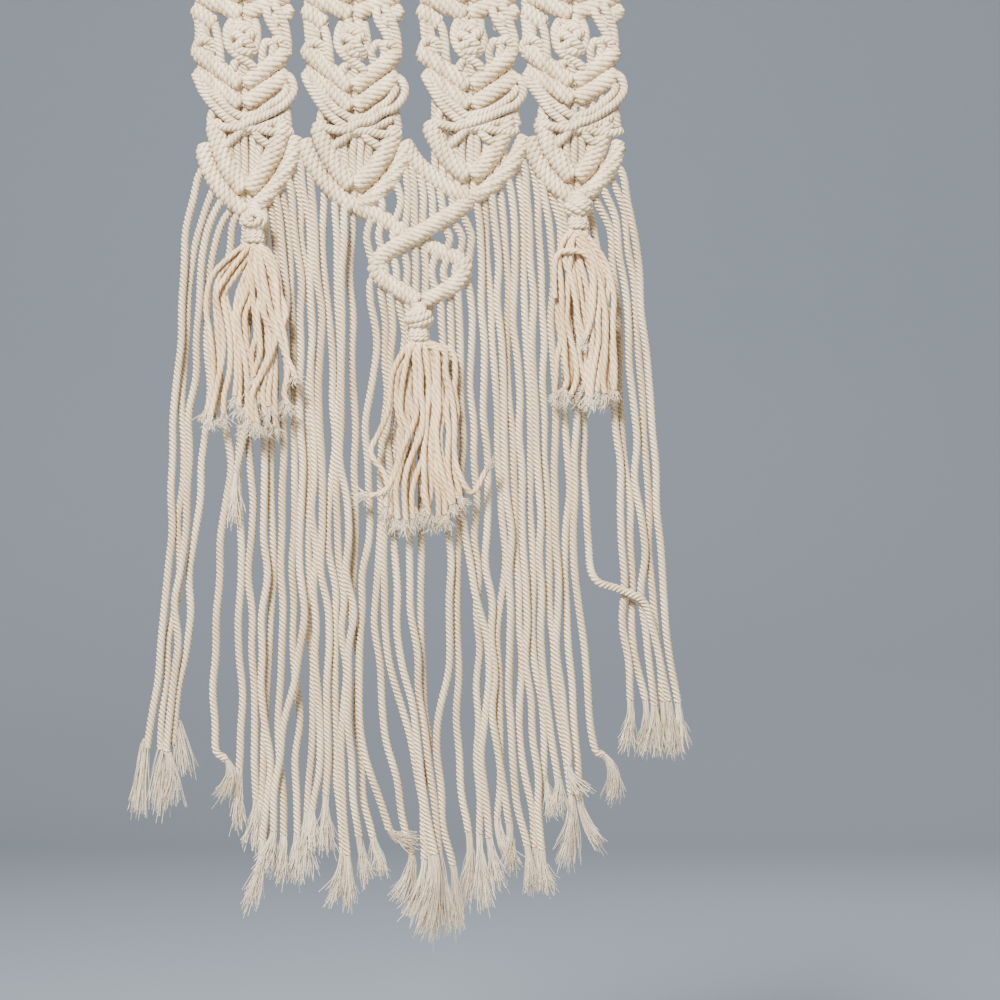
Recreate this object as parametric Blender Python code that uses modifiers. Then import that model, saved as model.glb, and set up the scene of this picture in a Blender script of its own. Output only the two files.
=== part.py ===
"""Macrame wall hanging: four knotted bands on one holding cord, a joined lower edge with a
cross and a diamond, a fringe of long cords and three hung tassels.

Metres, +Z up, the front faces -Y. The origin is the middle of the top edge. Sizes below are
in millimetres: x runs to the right of the middle and a drop is measured down from the top
edge."""

from collections import namedtuple
from math import hypot, pi, sin

import bmesh
import bpy
from mathutils import Matrix, Vector

MM = 0.001
COLLECTION = "macrame_wall_hanging"

# ---------------------------------------------------------------- driving dimensions
CORD = 3.0                  # diameter of the twisted cotton cord
WIDTH = 176.0               # of the holding cord
HEADER_DROP = 4.0           # centre line of the holding cord
HEADER_KNOTS = 24           # lark's head knots, two cords to each
HEADER_RADIUS = (3.4, 4.0)  # between the knots and on them
BAR_RADIUS = (3.7, 4.1)     # of a hitched bar, between its hitches and on them
EDGE_RADIUS = (3.05, 3.4)   # of the last bar of each band and of the bars below it
POINT_TAPER = 0.76          # those arms are this much thinner at their lowest point
TOP_HITCHES = 2             # ridges on one arm of the two top bars
HITCHES = 2                 # ridges on one arm of a short bar
LONG_HITCHES = 3            # on one arm of the lowest bars
BAND_CORDS = 12
INNER_BOW = (2.6, 1.0)      # how far the middle of an arm bellies outwards and down
OUTER_BOW = (3.4, 1.4)

# The bars over the open zone, the same on each band: x from the band's middle, and drops.
TOP_BAR_HALF = 18.8
TOP_BARS = ((34.4, 43.2), (41.6, 50.4))      # drop at the ends, drop at the point
SIDE_BAR = ((20.0, 47.4), (11.2, 52.2))      # the short bar on each side, outer to inner end
BERRY_SIZE = (6.2, 5.4, 8.4)                 # half sizes of the round knot in the open zone
BERRY_STEM = 2.6
KNOT_SIZE = (6.6, 3.6, 3.6)                  # half sizes of the square knot at the waist
KNOT_FRONT = 1.5                             # how far it stands forward of the bars
LOOP_RUN = 14.0             # longest straight run in a loose loop

Point = namedtuple("Point", "x drop")
Bar = namedtuple("Bar", "left point right")  # a V-shaped bar: two ends and its lowest point
Band = namedtuple("Band", "middle berry upper lower knot inner outer")

BANDS = (
    Band(
        middle=-66.8, berry=Point(-66.8, 61.2),
        upper=Bar(Point(-85.9, 64.8), Point(-66.8, 78.4), Point(-49.8, 65.6)),
        lower=Bar(Point(-85.4, 73.6), Point(-66.8, 86.4), Point(-49.2, 74.4)),
        knot=Point(-65.6, 92.8),
        inner=Bar(Point(-77.6, 95.2), Point(-65.6, 120.8), Point(-50.8, 94.8)),
        outer=Bar(Point(-82.8, 102.4), Point(-65.2, 129.2), Point(-45.2, 99.6)),
    ),
    Band(
        middle=-22.8, berry=Point(-22.8, 62.4),
        upper=Bar(Point(-42.1, 64.0), Point(-23.2, 79.6), Point(-4.9, 65.6)),
        lower=Bar(Point(-41.6, 73.6), Point(-22.4, 87.6), Point(-5.2, 75.2)),
        knot=Point(-22.4, 93.6),
        inner=Bar(Point(-36.0, 96.0), Point(-22.4, 119.0), Point(-6.4, 98.0)),
        outer=Bar(Point(-42.0, 100.8), Point(-21.4, 127.4), Point(-1.2, 102.4)),
    ),
    Band(
        middle=23.2, berry=Point(23.6, 61.2),
        upper=Bar(Point(4.1, 64.8), Point(24.0, 79.2), Point(41.3, 65.6)),
        lower=Bar(Point(6.2, 74.0), Point(24.4, 86.8), Point(42.4, 75.2)),
        knot=Point(24.4, 92.4),
        inner=Bar(Point(8.4, 95.6), Point(24.2, 115.2), Point(39.2, 93.2)),
        outer=Bar(Point(-2.0, 101.6), Point(24.4, 123.6), Point(45.6, 99.2)),
    ),
    Band(
        middle=65.2, berry=Point(64.0, 61.2),
        upper=Bar(Point(46.3, 64.0), Point(65.6, 77.6), Point(82.6, 64.8)),
        lower=Bar(Point(46.8, 73.2), Point(66.0, 84.4), Point(82.3, 74.0)),
        knot=Point(66.0, 92.8),
        inner=Bar(Point(53.0, 93.6), Point(66.0, 115.6), Point(78.2, 94.0)),
        outer=Bar(Point(48.4, 100.0), Point(66.0, 124.0), Point(83.6, 101.4)),
    ),
)

# The crossed bars between the second and third bands, and the diamond under them.
CROSS_DEPTH = 2.0           # the two long bars pass each other by this much either way
CROSS_RADIUS = (2.7, 3.1)
CROSS_HITCHES = 5
UNDER_BAR = (Point(-21.4, 127.2), Point(-12.0, 130.8), Point(-4.0, 136.0), Point(3.2, 139.6),
             Point(12.0, 144.8), Point(23.2, 149.2))
OVER_BAR = (Point(24.4, 123.6), Point(18.0, 129.0), Point(12.0, 132.6), Point(4.0, 137.6),
            Point(-4.0, 142.0), Point(-15.6, 148.8))
DIAMOND_LEFT = (Point(-16.0, 154.0), Point(-5.6, 159.2), Point(4.4, 165.2))
DIAMOND_RIGHT = (Point(23.6, 154.4), Point(15.2, 159.6), Point(4.4, 165.2))

# Short cords inside the crossing: x where each starts, half way down, and where it ends.
Short = namedtuple("Short", "top middle bottom")
TRIANGLE_CORDS = (
    Short(-12.8, -10.6, -10.2), Short(-8.2, -5.4, -6.8), Short(-4.0, -1.6, -2.8),
    Short(0.2, 2.0, 1.0), Short(4.0, 5.4, 4.8), Short(7.8, 9.0, 8.4),
    Short(11.6, 12.8, 12.0), Short(15.4, 17.0, 16.0),
)
LEFT_SIDE_CORDS = (Short(-15.2, -17.4, -15.0), Short(-11.0, -12.4, -10.8), Short(-6.6, -7.8, -6.2))
RIGHT_SIDE_CORDS = (Short(13.2, 15.6, 14.4), Short(17.4, 20.0, 18.4), Short(21.4, 23.8, 22.2))
DIAMOND_CORDS = (
    Short(-7.0, -5.6, -6.4), Short(-2.8, -1.6, -2.4), Short(1.2, 2.0, 1.6),
    Short(5.2, 5.8, 5.6), Short(9.2, 9.8, 9.6), Short(13.2, 14.0, 14.0),
)

# ---------------------------------------------------------------- the long cords
# Each hangs from a bar at x = root. Then it passes these x at every STEP below its group's
# first drop, starts to fray at one point and ends at another. A layer is how far in front of
# the bars it hangs; a cord that crosses its neighbours has another one below CROSS_DROP.
STEP = 40.0
BACK, MIDDLE, FRONT = -3.4, 0.0, 3.4
CROSS_DROP = 290.0
ROOT_LAYER = 0.5            # share of its layer that a cord already has inside its bar
CORD_RUN = 41.0             # longest straight run in a cord's smooth curve
Cord = namedtuple("Cord", "root layer hang fray end low_layer", defaults=(None,))

LEFT_FIRST = 140.0
LEFT_CORDS = (
    Cord(-81.6, MIDDLE, (-89.2, -92.4, -94.4, -96.4, -99.6, -104.0), (-104.4, 342), (-108, 368.8)),
    Cord(-77.8, BACK, (-85.6, -89.2, -91.2, -92.8, -96.2, -100.4), (-100.4, 342), (-102, 369)),
    Cord(-74.4, MIDDLE, (-82.0, -85.2, -88.0, -89.6, -93.6, -97.2), (-96.8, 345), (-96, 366)),
    Cord(-70.8, BACK, (-77.6, -81.6, -82.0, -86.0, -91.2, -94.8), (-94.8, 333), (-91, 354)),
    Cord(-68.0, MIDDLE, (-72.4, -76.8, -73.0, -74.2, -76.0, -78.4), (-73.6, 348), (-73, 364)),
    Cord(-65.6, BACK, (-65.6, -67.0, -67.8, -68.6, -67.4, -66.8), (-67.2, 352), (-69, 376)),
    Cord(-63.2, MIDDLE, (-63.2, -65.2, -67.4), (-68.6, 233), (-69.6, 252.8)),
    Cord(-61.6, BACK, (-60.8, -62.4, -63.8, -63.6, -63.0, -62.2), (-62.4, 364), (-63, 384)),
    Cord(-59.6, MIDDLE, (-57.6, -58.0, -59.2, -57.6, -60.0, -56.4), (-58.6, 380), (-64, 408)),
    Cord(-57.2, BACK, (-54.2, -54.6, -55.6, -56.0, -56.4, -58.0), (-58.4, 367), (-58.0, 384)),
    Cord(-54.8, MIDDLE, (-51.2, -50.2, -50.6, -51.2, -51.6, -52.6), (-50.8, 378), (-52, 396)),
    Cord(-52.4, BACK, (-48.4, -47.0, -46.6, -46.4, -46.8, -44.8), (-46.0, 378), (-47.2, 397)),
    Cord(-50.0, MIDDLE, (-45.6, -44.4, -43.6, -44.0, -42.8, -51.2), (-54.4, 376), (-57, 391), FRONT),
    Cord(-48.2, BACK, (-42.4, -40.8, -40.4, -40.0, -40.8, -38.0), (-41.6, 369), (-42.4, 396)),
    Cord(-46.0, MIDDLE, (-40.8, -39.0, -38.8, -38.4, -37.2, -36.4), (-38.2, 368), (-37.6, 384)),
)
LONG_FIRST = 140.0
LONG_LEFT_CORDS = (
    Cord(-38.8, MIDDLE, (-38.4, -35.2, -34.8, -34.8, -33.6, -32.8), (-33.4, 362), (-33.4, 385)),
    Cord(-33.6, BACK, (-34.4, -31.8, -31.8, -31.4, -29.0, -30.2), (-28.4, 384), (-31, 406)),
    Cord(-29.2, MIDDLE, (-30.2, -28.6, -29.0, -28.0, -26.0, -27.0), (-25.6, 386), (-24, 406)),
    Cord(-25.2, FRONT, (-26.4, -26.2, -26.8, -25.2, -23.6, -24.0), (-20.8, 378), (-17.6, 397)),
    Cord(-21.6, BACK, (-22.6, -23.8, -22.0, -22.0, -21.6, -20.4), (-15.2, 379), (-11.2, 395)),
)
DIAMOND_FIRST = 180.0
DIAMOND_LEFT_CORDS = (
    Cord(-14.8, MIDDLE, (-13.6, -17.6, -16.4, -20.4, -19.6), (-8.8, 376), (1.2, 383)),
    Cord(-10.8, BACK, (-10.0, -11.4, -12.4, -13.2, -10.0), (-0.2, 386), (-3.2, 407)),
    Cord(-7.0, MIDDLE, (-6.8, -8.4, -9.2, -9.2, -0.4), (8.4, 386), (4.8, 417)),
    Cord(-3.4, BACK, (-3.4, -5.6, -6.0, -4.0, 2.2), (10.8, 385), (10.0, 420), FRONT),
    Cord(0.0, MIDDLE, (-0.2, -1.2, -1.2, 2.0, 6.0), (13.0, 384), (14.4, 418)),
)
DIAMOND_RIGHT_CORDS = (
    Cord(7.6, BACK, (6.6, 4.4, 4.0, 5.6, 6.8), (5.6, 388), (0.8, 414)),
    Cord(11.2, MIDDLE, (12.8, 14.2, 16.0, 16.0, 11.2), (17.4, 390), (20.0, 416)),
    Cord(14.8, BACK, (16.6, 17.6, 18.8, 20.0, 19.6), (23.0, 377), (21.8, 406)),
    Cord(18.6, MIDDLE, (20.2, 20.2, 22.4, 29.6, 30.8), (31.2, 379), (34.4, 399)),
    Cord(22.4, BACK, (25.2, 25.2, 26.8, 26.8, 27.4), (27.2, 378), (28.6, 408)),
)
LONG_RIGHT_CORDS = (
    Cord(25.8, MIDDLE, (28.6, 29.4, 29.6, 31.0, 33.2, 34.8), (39.4, 373), (39.6, 392)),
    Cord(28.8, BACK, (31.2, 33.0, 34.2, 37.0, 34.4, 36.0), (36.2, 372), (42.6, 391)),
    Cord(32.0, MIDDLE, (34.6, 36.2, 37.6, 40.0, 39.2, 40.4), (46.8, 382), (48.8, 401)),
    Cord(35.2, BACK, (38.2, 39.4, 41.0, 42.0, 44.0, 44.8), (50.0, 383), (52.8, 401)),
    Cord(38.4, MIDDLE, (42.0, 42.6, 44.4, 45.6, 47.0, 48.6), (54.0, 384), (57.2, 401)),
    Cord(41.2, BACK, (45.6, 46.2, 47.8, 48.8, 50.0, 53.0), (54.0, 355), (55.2, 371)),
    Cord(43.6, MIDDLE, (49.0, 49.6, 51.6, 51.8, 52.8, 56.2), (57.6, 355), (59.6, 370)),
)
RIGHT_CORDS = (
    Cord(50.0, BACK, (53.0, 53.2, 54.8, 55.4, 56.4, 60.2), (64.8, 362), (64, 392)),
    Cord(53.2, MIDDLE, (56.6, 56.6, 58.2, 59.0, 59.4, 62.6), (62.4, 350), (68.8, 362.4)),
    Cord(57.4, BACK, (60.2, 61.0, 62.6, 63.2, 64.0, 66.0), (69.2, 364), (76, 384)),
    Cord(61.6, MIDDLE, (63.4, 64.6, 66.6, 66.4, 68.8, 73.2), (76.8, 346), (82, 364)),
    Cord(65.6, BACK, (67.2, 68.4, 70.2, 71.2), (103.0, 324), (106.4, 345), FRONT),
    Cord(69.6, MIDDLE, (75.6, 80.0, 82.8, 85.2, 85.6), (89.2, 324), (86.8, 344)),
    Cord(72.8, BACK, (79.6, 83.2, 85.8, 88.4, 89.6), (93.6, 324), (93.2, 346)),
    Cord(76.0, MIDDLE, (83.2, 87.2, 90.2, 92.0, 94.4), (98.0, 326), (99.6, 346)),
    Cord(79.2, BACK, (86.6, 90.8, 93.8, 95.8, 98.4), (101.6, 325), (103.6, 345)),
    Cord(82.0, MIDDLE, (90.2, 94.6, 97.6, 99.6, 102.4), (106.0, 325), (109.2, 344)),
)
# One cord of the right-hand group swings across in front of its neighbours.
SWING_CORD = 4
SWING = (Point(74.0, 275.0), Point(83.0, 279.5), Point(93.0, 284.5), Point(98.2, 296.0))
TUFT_RADIUS = 1.7           # of a frayed end

# ---------------------------------------------------------------- tassels
# A head's middle, how far in front of the bars it hangs, the drop its strands start from, the
# x that they reach on each side, and the drops of the shortest and the longest.
Tassel = namedtuple("Tassel", "name head front strands_from left right shortest longest")
TASSELS = (
    Tassel("left", Point(-61.6, 133.0), 7.3, 143.0, -82.0, -44.0, 197.0, 218.0),
    Tassel("centre", Point(3.8, 172.0), 6.2, 182.0, -12.0, 27.0, 232.0, 260.0),
    Tassel("right", Point(67.2, 127.6), 7.0, 137.6, 55.6, 89.0, 190.0, 209.0),
)
TASSEL_STRANDS = 12
STRAND = 2.2                # diameter of one strand
STRAND_ROWS = (-1.7, 1.7)   # front and back row, about the tassel's middle
STRAND_BELLY = (0.30, 0.85) # how far down a strand has spread by this much of its reach
FALLS = (0.3, 0.0, 0.8, 0.15, 0.5, 0.05, 1.0)   # how much shorter each strand is, in turn
HEAD_PROFILE = (            # radius and drop from the head's middle, top to bottom
    (0.0, -6.0), (3.6, -4.8), (5.6, -1.8), (5.7, 1.2), (4.2, 3.8), (2.8, 4.9), (2.8, 10.0),
    (4.2, 12.6), (3.8, 15.0), (0.0, 15.6),
)
WRAP_PROFILE = ((3.4, 5.4), (4.3, 6.0), (4.5, 7.6), (4.2, 9.2), (3.4, 9.8))
TURN_STEPS = 10

COTTON = (0.80, 0.72, 0.60, 1.0)
COTTON_ROUGHNESS = 0.9


# ---------------------------------------------------------------- helpers
def place(x, front, drop):
    """A point in metres from x, how far in front of the bars it lies, and its drop."""
    return Vector((x * MM, -front * MM, -drop * MM))


def along(points, share):
    """The point at a share of the way along a run of points."""
    runs = [hypot(b.x - a.x, b.drop - a.drop) for a, b in zip(points, points[1:])]
    left = share * sum(runs)
    for start, end, run in zip(points, points[1:], runs):
        if left <= run:
            return Point(start.x + (end.x - start.x) * left / run,
                         start.drop + (end.drop - start.drop) * left / run)
        left -= run
    return points[-1]


def drop_at(points, x):
    """The drop at which a run of points passes x, or that of its nearer end."""
    for start, end in zip(points, points[1:]):
        if min(start.x, end.x) <= x <= max(start.x, end.x) and start.x != end.x:
            return start.drop + (end.drop - start.drop) * (x - start.x) / (end.x - start.x)
    return min(points, key=lambda point: abs(point.x - x)).drop


def arm(end, point, bow=(0.0, 0.0), steps=6):
    """One arm of a V, from its end to its lowest point, bellied outwards and down."""
    outwards = -1.0 if end.x < point.x else 1.0
    bend = Point((end.x + point.x) / 2 + 2 * outwards * bow[0], (end.drop + point.drop) / 2 + 2 * bow[1])
    shares = [step / steps for step in range(steps + 1)]
    return [
        Point(*((1 - t) ** 2 * a + 2 * t * (1 - t) * b + t * t * c for a, b, c in zip(end, bend, point)))
        for t in shares
    ]


def smooth(points, run):
    """A curve through the points (x, front, drop), with no straight run longer than this."""
    points = [Vector(point) for point in points]
    padded = [points[0] * 2 - points[1], *points, points[-1] * 2 - points[-2]]
    curve = []
    for before, start, end, after in zip(padded, padded[1:], padded[2:], padded[3:]):
        count = max(1, round((end - start).length / run))
        for step in range(count):
            t = step / count
            curve.append(0.5 * (
                2 * start + (end - before) * t
                + (2 * before - 5 * start + 4 * end - after) * t ** 2
                + (3 * start - before - 3 * end + after) * t ** 3
            ))
    return [*curve, points[-1]]


def mesh_object(name, mesh):
    made = bpy.data.objects.new(name, mesh)
    bpy.context.scene.collection.objects.link(made)
    return made


def tube(points, radii, sides=4):
    """A closed tube through the points (x, front, drop), with a radius at each of them."""
    data = bpy.data.curves.new("tube", "CURVE")
    data.dimensions = "3D"
    data.bevel_depth = MM
    data.bevel_resolution = sides // 2 - 2
    data.use_fill_caps = True
    spline = data.splines.new("POLY")
    spline.points.add(len(points) - 1)
    for control, point, radius in zip(spline.points, points, radii):
        control.co = (*place(*point), 1.0)
        control.radius = radius
    curve = mesh_object("tube_guide", data)
    mesh = bpy.data.meshes.new_from_object(curve.evaluated_get(bpy.context.evaluated_depsgraph_get()))
    made = mesh_object("tube", mesh)
    made.matrix_world = curve.matrix_world
    bpy.data.objects.remove(curve)
    welded = bmesh.new()
    welded.from_mesh(mesh)
    bmesh.ops.remove_doubles(welded, verts=welded.verts, dist=1e-6)
    bmesh.ops.recalc_face_normals(welded, faces=welded.faces)
    welded.to_mesh(mesh)
    welded.free()
    return made


def cord(points, diameter=CORD):
    return tube(points, [diameter / 2] * len(points))


def ridged(points, radius, ridges, taper=1.0, passing=0.0, sides=6):
    """A bar of hitches: a tube that swells at each hitch. It may thin towards its last point,
    and its middle may stand forward, where it passes over another bar."""
    count = 2 * ridges
    line = []
    radii = []
    for step in range(count + 1):
        share = step / count
        point = along(points, share)
        line.append((point.x, passing * (1 - abs(2 * share - 1)), point.drop))
        radii.append(radius[step % 2] * (1 + (taper - 1) * share))
    return tube(line, radii, sides)


def ball(centre, half_sizes, front=0.0):
    made = bmesh.new()
    bmesh.ops.create_icosphere(made, subdivisions=1, radius=MM)
    bmesh.ops.scale(made, vec=half_sizes, verts=made.verts)
    bmesh.ops.translate(made, vec=place(centre.x, front, centre.drop), verts=made.verts)
    mesh = bpy.data.meshes.new("ball")
    made.to_mesh(mesh)
    made.free()
    return mesh_object("ball", mesh)


def turned(name, profile, centre, front):
    """A shape turned about an upright axis from (radius, drop) pairs, top to bottom."""
    mesh = bpy.data.meshes.new(name)
    rings = [(radius * MM, 0.0, -drop * MM) for radius, drop in profile]
    mesh.from_pydata(rings, [(i, i + 1) for i in range(len(rings) - 1)], [])
    made = mesh_object(name, mesh)
    made.location = place(centre.x, front, centre.drop)
    screw = made.modifiers.new("turned", "SCREW")
    screw.steps = screw.render_steps = TURN_STEPS
    screw.use_merge_vertices = True
    screw.merge_threshold = 1e-5
    return made


def cotton(name):
    made = bpy.data.materials.new(name)
    made.use_nodes = True
    shader = made.node_tree.nodes["Principled BSDF"]
    shader.inputs["Base Color"].default_value = COTTON
    shader.inputs["Roughness"].default_value = COTTON_ROUGHNESS
    shader.inputs["Metallic"].default_value = 0.0
    return made


def fuse(name, pieces, collection, solver="EXACT"):
    """Joins the pieces into one named solid; all but the first stay on as hidden guides."""
    body, *others = pieces
    guides = bpy.data.collections.new(name + "_pieces")
    bpy.context.scene.collection.children.link(guides)
    for other in others:
        bpy.context.scene.collection.objects.unlink(other)
        guides.objects.link(other)
        other.hide_render = True
        other.display_type = "WIRE"
    union = body.modifiers.new("knotted_together", "BOOLEAN")
    union.operation = "UNION"
    union.operand_type = "COLLECTION"
    union.collection = guides
    union.solver = solver
    return finish(name, body, collection)


def finish(name, made, collection):
    made.name = name
    made.data.name = name
    made.data.materials.clear()
    made.data.materials.append(cotton(name + "_cotton"))
    bpy.context.scene.collection.objects.unlink(made)
    collection.objects.link(made)
    return made


# ---------------------------------------------------------------- the knotted panel
def header():
    """The holding cord with its row of lark's head knots."""
    ends = [Point(-WIDTH / 2, HEADER_DROP), Point(WIDTH / 2, HEADER_DROP)]
    return ridged(ends, HEADER_RADIUS, HEADER_KNOTS, sides=4)


def v_bar(bar, radius, ridges, bow=(0.0, 0.0), taper=1.0):
    return [ridged(arm(end, bar.point, bow), radius, ridges, taper) for end in (bar.left, bar.right)]


def v_line(bar, bow=(0.0, 0.0)):
    """Both arms of a V as one run of points from left to right."""
    return arm(bar.left, bar.point, bow) + arm(bar.right, bar.point, bow)[::-1]


def top_bar(middle, drops):
    ends, point = drops
    return Bar(Point(middle - TOP_BAR_HALF, ends), Point(middle, point), Point(middle + TOP_BAR_HALF, ends))


def band_cords(index, band):
    """The cords from the holding cord down to a band's first bar."""
    first = v_line(top_bar(band.middle, TOP_BARS[0]))
    header_pitch = WIDTH / (len(BANDS) * BAND_CORDS)
    band_pitch = 2 * TOP_BAR_HALF / BAND_CORDS + 0.25
    cords = []
    for number in range(BAND_CORDS):
        top = -WIDTH / 2 + (index * BAND_CORDS + number + 0.5) * header_pitch
        low = band.middle + (number - (BAND_CORDS - 1) / 2) * band_pitch
        cords.append(cord([(top, 0.0, HEADER_DROP), (low, 0.0, drop_at(first, low))]))
    return cords


def open_zone(band):
    """The round knot under the top bars and the cords that pass it on each side."""
    pieces = [
        ball(band.berry, BERRY_SIZE),
        tube([(band.berry.x, 0.0, band.berry.drop + 4), (*band.upper.point[:1], 0.0, band.upper.point.drop)],
             [BERRY_STEM] * 2),
    ]
    below = v_line(band.upper)
    for side, end in ((-1, band.upper.left), (1, band.upper.right)):
        (outer, outer_drop), (inner, inner_drop) = SIDE_BAR
        start, stop = band.middle + side * outer, band.middle + side * inner
        pieces.append(ridged([Point(start, outer_drop), Point(stop, inner_drop)], EDGE_RADIUS, 2))
        rows = (
            (start - side * 1.0, start - side * 0.6, end.x - side * 1.6),
            (start - side * 3.6, start - side * 4.4, start - side * 6.4),
            (stop, stop - side * 3.4, stop - side * 4.2),
        )
        for top, waist, low in rows:
            top_drop = outer_drop if top != stop else inner_drop
            low_drop = drop_at(below, low)
            pieces.append(cord([
                (top, 0.0, top_drop + 0.6), (waist, 0.6, (top_drop + low_drop) / 2), (low, 0.0, low_drop),
            ]))
    return pieces


def waist(band):
    """The loose loops that cross in to the square knot, and what runs on from it."""
    knot = band.knot
    lower, inner = v_line(band.lower), arm(band.inner.left, band.inner.point, INNER_BOW)
    inner_right = arm(band.inner.right, band.inner.point, INNER_BOW)
    pieces = [ball(knot, KNOT_SIZE, KNOT_FRONT)]
    for side, end, lowest in ((-1, band.lower.left, inner), (1, band.lower.right, inner_right)):
        root = end.x - side * 4.4
        outer_loop = (
            (end.x - side * 0.8, 0.0, end.drop), (end.x - side * 0.4, 1.4, end.drop + 8.0),
            (end.x - side * 6.0, 2.4, end.drop + 13.6), (knot.x + side * 6.4, 3.0, knot.drop - 1.2),
            (knot.x, 2.6, knot.drop),
        )
        inner_loop = (
            (root, 0.0, drop_at(lower, root)), (root - side * 3.0, 0.4, end.drop + 11.2),
            (knot.x + side * 7.4, 0.8, knot.drop - 3.6), (knot.x, 1.6, knot.drop - 1.6),
        )
        to_end = (
            (knot.x, 1.5, knot.drop), (knot.x + side * 7.6, 1.6, knot.drop + 0.4),
            (lowest[0].x - side * 0.6, 0.6, lowest[0].drop + 1.0),
        )
        leg_end = along(lowest, 0.5)
        leg = ((knot.x, 2.0, knot.drop + 1.2), (leg_end.x, 1.4, leg_end.drop))
        for path in (outer_loop, inner_loop, to_end):
            pieces.append(cord(smooth(path, LOOP_RUN)))
        pieces.append(cord(leg))
    both = inner + inner_right[::-1]
    for offset in (-3.4, 0.2, 3.8):
        x = knot.x + offset
        pieces.append(cord([(x, 0.6, knot.drop + 0.4), (x, 0.2, drop_at(both, x))]))
    return pieces


def knotted_panel(collection):
    pieces = [header()]
    for index, band in enumerate(BANDS):
        pieces += band_cords(index, band)
        for drops in TOP_BARS:
            pieces += v_bar(top_bar(band.middle, drops), BAR_RADIUS, TOP_HITCHES)
        pieces += open_zone(band)
        pieces += v_bar(band.upper, BAR_RADIUS, HITCHES)
        pieces += v_bar(band.lower, BAR_RADIUS, HITCHES)
        pieces += waist(band)
        pieces += v_bar(band.inner, EDGE_RADIUS, LONG_HITCHES, INNER_BOW, POINT_TAPER)
    return fuse("knotted_panel", pieces, collection, "MANIFOLD")


# ---------------------------------------------------------------- the fringe
def long_cord(row, first, bar, detour=()):
    """One cord of the fringe, from inside its bar to its frayed end."""
    low = row.layer if row.low_layer is None else row.low_layer
    path = [(row.root, row.layer * ROOT_LAYER, drop_at(bar, row.root))]
    for step, x in enumerate(row.hang):
        drop = first + STEP * step
        path.append((x, row.layer if drop < CROSS_DROP else low, drop))
    path += [(point.x, low, point.drop) for point in detour]
    path.append((row.fray[0], low, row.fray[1]))
    points = smooth(path, CORD_RUN) + [Vector((row.end[0], low, row.end[1]))]
    return tube(points, [CORD / 2] * (len(points) - 1) + [TUFT_RADIUS])


def short_cord(row, above, below):
    top, bottom = drop_at(above, row.top), drop_at(below, row.bottom)
    return cord([
        (row.top, 0.0, top), (row.middle, 0.4, (top + bottom) / 2), (row.bottom, 0.0, bottom),
    ])


def fringe(collection):
    """The joined lowest bars, the crossing and diamond, and all of the hanging cords."""
    lines = [v_line(band.outer, OUTER_BOW) for band in BANDS]
    pieces = []
    for band in BANDS:
        pieces += v_bar(band.outer, EDGE_RADIUS, LONG_HITCHES, OUTER_BOW, POINT_TAPER)
    pieces.append(ridged(UNDER_BAR, CROSS_RADIUS, CROSS_HITCHES, passing=-CROSS_DEPTH))
    pieces.append(ridged(OVER_BAR, CROSS_RADIUS, CROSS_HITCHES, passing=CROSS_DEPTH))
    pieces.append(ridged(DIAMOND_LEFT, CROSS_RADIUS, LONG_HITCHES))
    pieces.append(ridged(DIAMOND_RIGHT, CROSS_RADIUS, LONG_HITCHES))

    second_right = lines[1][len(lines[1]) // 2:]
    third_left = lines[2][:len(lines[2]) // 2]
    over, under = list(OVER_BAR), list(UNDER_BAR)
    crossing = 2.0
    for row in TRIANGLE_CORDS:
        above = second_right if row.top < -1.6 else third_left
        pieces.append(short_cord(row, above, under if row.bottom < crossing else over))
    for row in LEFT_SIDE_CORDS:
        pieces.append(short_cord(row, under, over))
    for row in RIGHT_SIDE_CORDS:
        pieces.append(short_cord(row, over, under))
    for row in DIAMOND_CORDS:
        above = over if row.top < crossing else under
        pieces.append(short_cord(row, above, DIAMOND_LEFT if row.bottom < 4.4 else DIAMOND_RIGHT))

    groups = (
        (LEFT_CORDS, LEFT_FIRST, lines[0]),
        (LONG_LEFT_CORDS, LONG_FIRST, lines[1][:len(lines[1]) // 2] + under),
        (DIAMOND_LEFT_CORDS, DIAMOND_FIRST, DIAMOND_LEFT),
        (DIAMOND_RIGHT_CORDS, DIAMOND_FIRST, DIAMOND_RIGHT),
        (LONG_RIGHT_CORDS, LONG_FIRST, lines[2][len(lines[2]) // 2:]),
        (RIGHT_CORDS, LONG_FIRST, lines[3]),
    )
    for rows, first, bar in groups:
        for number, row in enumerate(rows):
            swings = rows is RIGHT_CORDS and number == SWING_CORD
            pieces.append(long_cord(row, first, bar, SWING if swings else ()))
    return fuse("fringe", pieces, collection, "MANIFOLD")


# ---------------------------------------------------------------- the tassels
def tassel(spec, collection):
    """A ball head, its neck, and strands that spread from the neck."""
    pieces = [turned("head", HEAD_PROFILE, spec.head, spec.front)]
    for number in range(TASSEL_STRANDS):
        share = number / (TASSEL_STRANDS - 1)
        row = STRAND_ROWS[number % len(STRAND_ROWS)]
        reach = spec.left + (spec.right - spec.left) * share - spec.head.x
        end = spec.longest - (spec.longest - spec.shortest) * FALLS[number % len(FALLS)]
        length = end - spec.strands_from
        belly, spread = STRAND_BELLY
        root = 3.0 * (2 * share - 1)
        path = (
            (spec.head.x + root, spec.front + row * 0.7, spec.strands_from + 2.0),
            (spec.head.x + reach * spread, spec.front + row, spec.strands_from + length * belly + 4),
            (spec.head.x + reach * (spread + 0.12), spec.front + row, spec.strands_from + length * 0.65),
            (spec.head.x + reach, spec.front + row, end),
        )
        pieces.append(tube(path, [STRAND / 2] * 3 + [STRAND / 2 + 0.2]))
    return fuse("tassel_" + spec.name, pieces, collection)


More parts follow.
